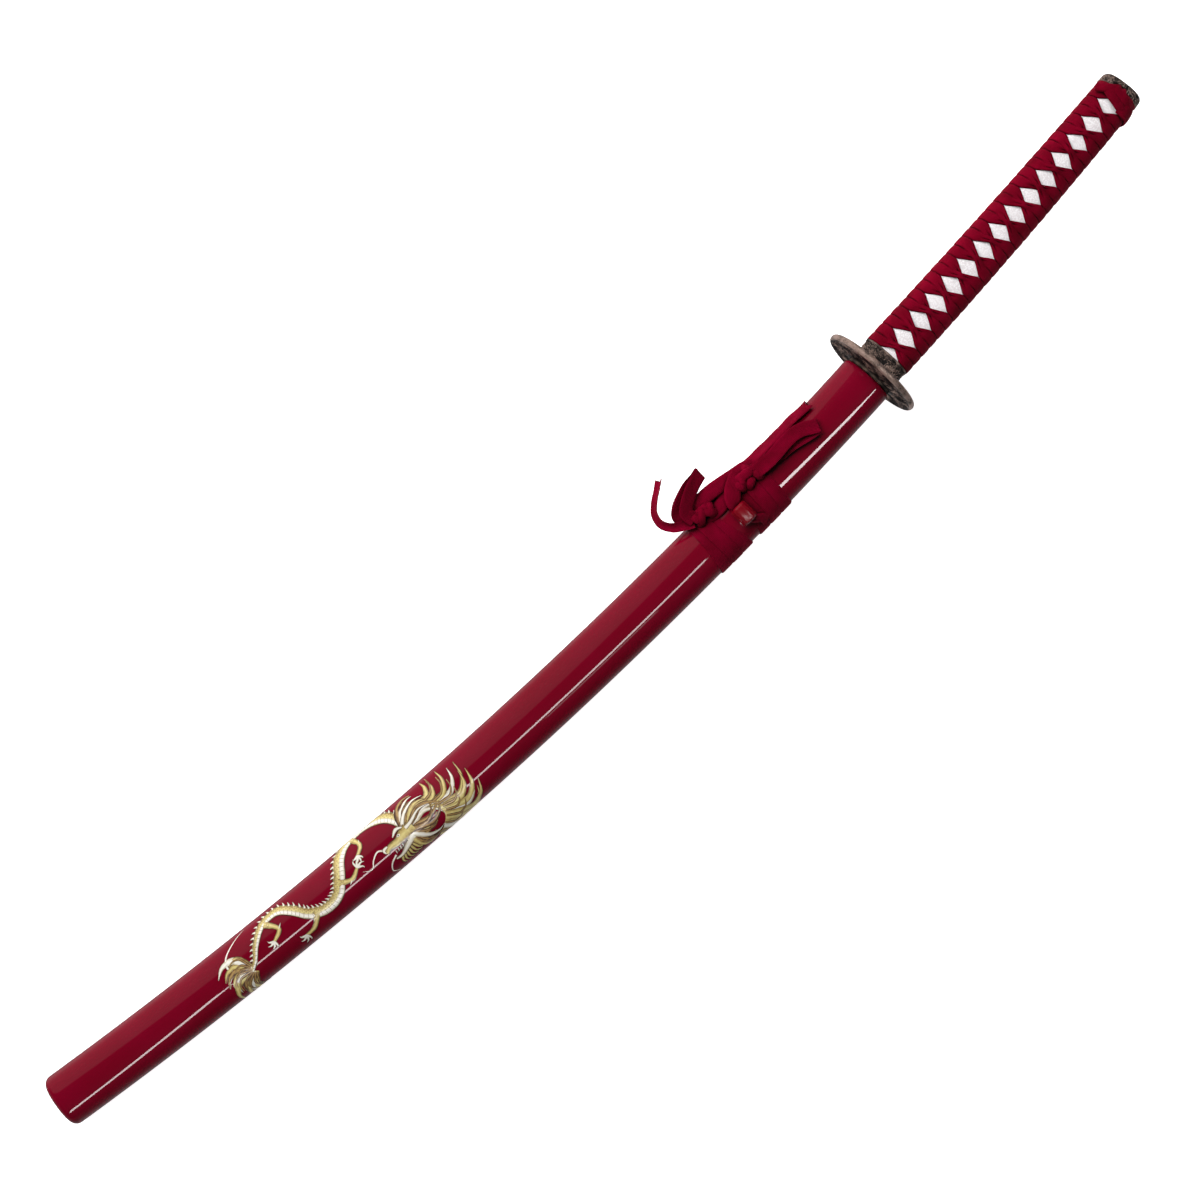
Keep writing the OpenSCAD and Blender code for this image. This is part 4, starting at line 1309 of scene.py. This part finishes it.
def make_blade():
    """Curved single-edged blade with a ridge, a flat back and a curved point, and its tang."""
    point = POINT_S + POINT_LEN * np.linspace(0, 1, 26) ** 2
    stations = np.concatenate([point, np.linspace(FULL_END_S + 6, TANG_S, 120)])
    rings, steel = [], []
    for s in stations:
        taper = float(np.clip(s / FULL_END_S, 0, 1))
        narrow = math.sqrt(min(1.0, max(0.0, (s - POINT_S) / POINT_LEN)))
        spine = -BLADE_W / 2 + 1.5 * taper
        edge = spine + (BLADE_W - 7 * taper) * max(narrow, 0.03)
        half = (BLADE_T / 2 - 0.9 * taper) * max(narrow, 0.05)
        ridge = spine + 0.32 * (edge - spine)
        bevel = edge - 0.45 * (edge - ridge)
        back = spine + narrow
        t = np.array([edge, bevel, ridge, back, spine, back, ridge, bevel])
        rings.append(place(s, t, half * BLADE_PROFILE))
        steel.append(np.stack([np.full(8, s), (t - spine) / (edge - spine), np.zeros(8)], -1))
    build = Build()
    build.loft(np.array(rings), steel=np.array(steel))
    tang = []
    for s in np.linspace(TANG_S, TANG_END_S, 24):
        share = (s - TANG_S) / (TANG_END_S - TANG_S)
        a, b = 11.25 - 4.25 * share, 3.1 - 1.1 * share
        t = np.array([a, a - 2.5, -a + 1.5, -a, -a + 1.5, a - 2.5, a, a]) + 0.8 * max(0.0, grip_t(s))
        tang.append(place(s, t, np.array([0.1, b, b, 0, -b, -b, -0.1, 0])))
    build.loft(np.array(tang), steel=np.zeros((24, 8, 3)))
    build.piece("polished_blade", STEEL, SWORD, "blade_steel", 6, ["blade"])


make_blade()


def finish_node(name, material, bevel_mm=0.0):
    """Gives a CAD piece that stays its finish, with softly broken edges."""
    obj = frame["nodes"][name]
    obj.data.materials.clear()
    obj.data.materials.append(material)
    if bevel_mm:
        bevel = obj.modifiers.new("broken_edges", "BEVEL")
        bevel.width = bevel_mm * MM
        bevel.segments = 2
        bevel.limit_method = "ANGLE"
        bevel.angle_limit = math.radians(40)


finish_node("habaki", COPPER, 0.25)
finish_node("mekugi", BAMBOO, 0.3)
for side in ("front", "back"):
    finish_node("tsuka_core_" + side, WOOD)
    finish_node("ray_skin_" + side, RAY_SKIN)


# ---- floor and light ----

FLOOR_GLOW = 1.0
FLOOR_REACH, FLOOR_GAP = 40.0, 0.0004
KEY_RADIANCE = 5.9
SOFT_RADIANCE = 0.27
# Height in the world's gradient, its grey and how much bluer it is
SKY = [(0.3, 0.36, 1.03), (0.5, 0.13, 1.05), (0.75, 0.03, 1.1)]
BACKDROP = (1.0, 1.0, 1.0)
MIDDLE = place(CAMERA_S, 0, 0)
STRIP_RADIANCE = 11.0
STRIP_HEIGHT = 1.2
# Start and end as metres along the sword and across it, width and share of the radiance
STRIPS = {
    "strip_tip": ((-1.26, 0.64), (-0.78, 0.315), 0.085, 1.1),
    "strip_middle": ((-0.76, 0.345), (0.15, 0.325), 0.085, 1.0),
    "strip_faint": ((-0.18, 0.5), (0.05, 0.47), 0.05, 0.22),
    "strip_mouth": ((0.27, 0.42), (0.56, 0.84), 0.1, 1.5),
    "strip_handle": ((0.6, 0.333), (1.06, 0.333), 0.09, 1.0),
}


def make_floor():
    """Pale glowing table, which the lacquer doesn't mirror."""
    z = min(0.0, cad_low.z) - FLOOR_GAP
    mesh = bpy.data.meshes.new("floor")
    signs = ((-1, -1), (1, -1), (1, 1), (-1, 1))
    mesh.from_pydata([(x * FLOOR_REACH, y * FLOOR_REACH, z) for x, y in signs], [], [[0, 1, 2, 3]])
    shader = Shader("pale_floor", Roughness=0.9, Specular_IOR_Level=0.0, Base_Color=(0.8, 0.8, 0.8, 1),
                    Emission_Color=(1, 1, 1, 1), Emission_Strength=FLOOR_GLOW)
    mesh.materials.append(shader.material)
    obj = add_object("floor", mesh)
    obj.visible_glossy = False


def make_lights():
    """A big soft key light on the spine side, and softboxes that only the gloss mirrors."""
    key = tilted("key_spine_side", -41.0, 1.9, 0.0, 1.6, 2.2, KEY_RADIANCE)
    key.visible_glossy = False
    gloss = [
        tilted("soft_spine_side", -70.0, 1.6, -0.45, 6.0, 2.1, SOFT_RADIANCE, "ELLIPSE"),
        tilted("soft_handle_side", -45.5, 1.6, 1.25, 2.45, 1.2, SOFT_RADIANCE),
    ]
    for name, (start, end, width, share) in STRIPS.items():
        gloss.append(strip(name, start, end, width, share * STRIP_RADIANCE))
    for light in gloss:
        light.visible_diffuse = False


def make_world():
    """Dim surroundings, darkest overhead and paler low down where the table's glow would be."""
    world = bpy.data.worlds.new("world")
    world.use_nodes = True
    nodes, links = world.node_tree.nodes, world.node_tree.links
    way = nodes.new("ShaderNodeTexCoord")
    parts = nodes.new("ShaderNodeSeparateXYZ")
    shift = nodes.new("ShaderNodeMath")
    shift.operation = "MULTIPLY_ADD"
    shift.inputs[1].default_value = 0.5
    shift.inputs[2].default_value = 0.5
    ramp = nodes.new("ShaderNodeValToRGB")
    stops = ramp.color_ramp.elements
    stops.new(0.5)
    for stop, (height, grey, blue) in zip(stops, SKY):
        stop.position = height
        stop.color = (grey, grey, grey * blue, 1)
    rays = nodes.new("ShaderNodeLightPath")
    seen = nodes.new("ShaderNodeMix")
    seen.data_type = "RGBA"
    seen.inputs[7].default_value = (*BACKDROP, 1)
    links.new(way.outputs["Generated"], parts.inputs[0])
    links.new(parts.outputs["Z"], shift.inputs[0])
    links.new(shift.outputs[0], ramp.inputs["Fac"])
    links.new(rays.outputs["Is Camera Ray"], seen.inputs[0])
    links.new(ramp.outputs["Color"], seen.inputs[6])
    links.new(seen.outputs[2], nodes["Background"].inputs["Color"])
    bpy.context.scene.world = world
    bpy.context.scene.view_settings.view_transform = "Standard"


def softbox(name, spot, along, back, length, width, radiance, shape="RECTANGLE"):
    """Area light at a spot, with its long side along one direction and its dark side to another."""
    data = bpy.data.lights.new(name, "AREA")
    data.shape = shape
    data.size, data.size_y = length, width
    area = length * width * (math.pi / 4 if shape == "ELLIPSE" else 1.0)
    data.energy = radiance * math.pi * area
    obj = add_object(name, data)
    stand(obj, spot, along, back)
    return obj


def tilted(name, tilt_deg, distance, shift, width, length, radiance, shape="RECTANGLE"):
    """Softbox tilted from straight above towards the edge side, and shifted along the sword."""
    tilt = math.radians(tilt_deg)
    back = math.cos(tilt) * N_AXIS - math.sin(tilt) * V_AXIS
    spot = MIDDLE + distance * back + shift * U_AXIS
    return softbox(name, spot, U_AXIS, back, length, width, radiance, shape)


def strip(name, start, end, width, radiance):
    """Narrow softbox between two places above the sword, facing its nearest stretch."""
    ends = [MIDDLE + x * U_AXIS - t * V_AXIS + STRIP_HEIGHT * N_AXIS for x, t in (start, end)]
    along = unit(ends[1] - ends[0])
    spot = (ends[0] + ends[1]) / 2
    away = spot - MIDDLE - (start[0] + end[0]) / 2 * U_AXIS
    back = unit(away - np.dot(away, along) * along)
    return softbox(name, spot, along, back, float(np.linalg.norm(ends[1] - ends[0])), width, radiance)


make_floor()
make_lights()
make_world()
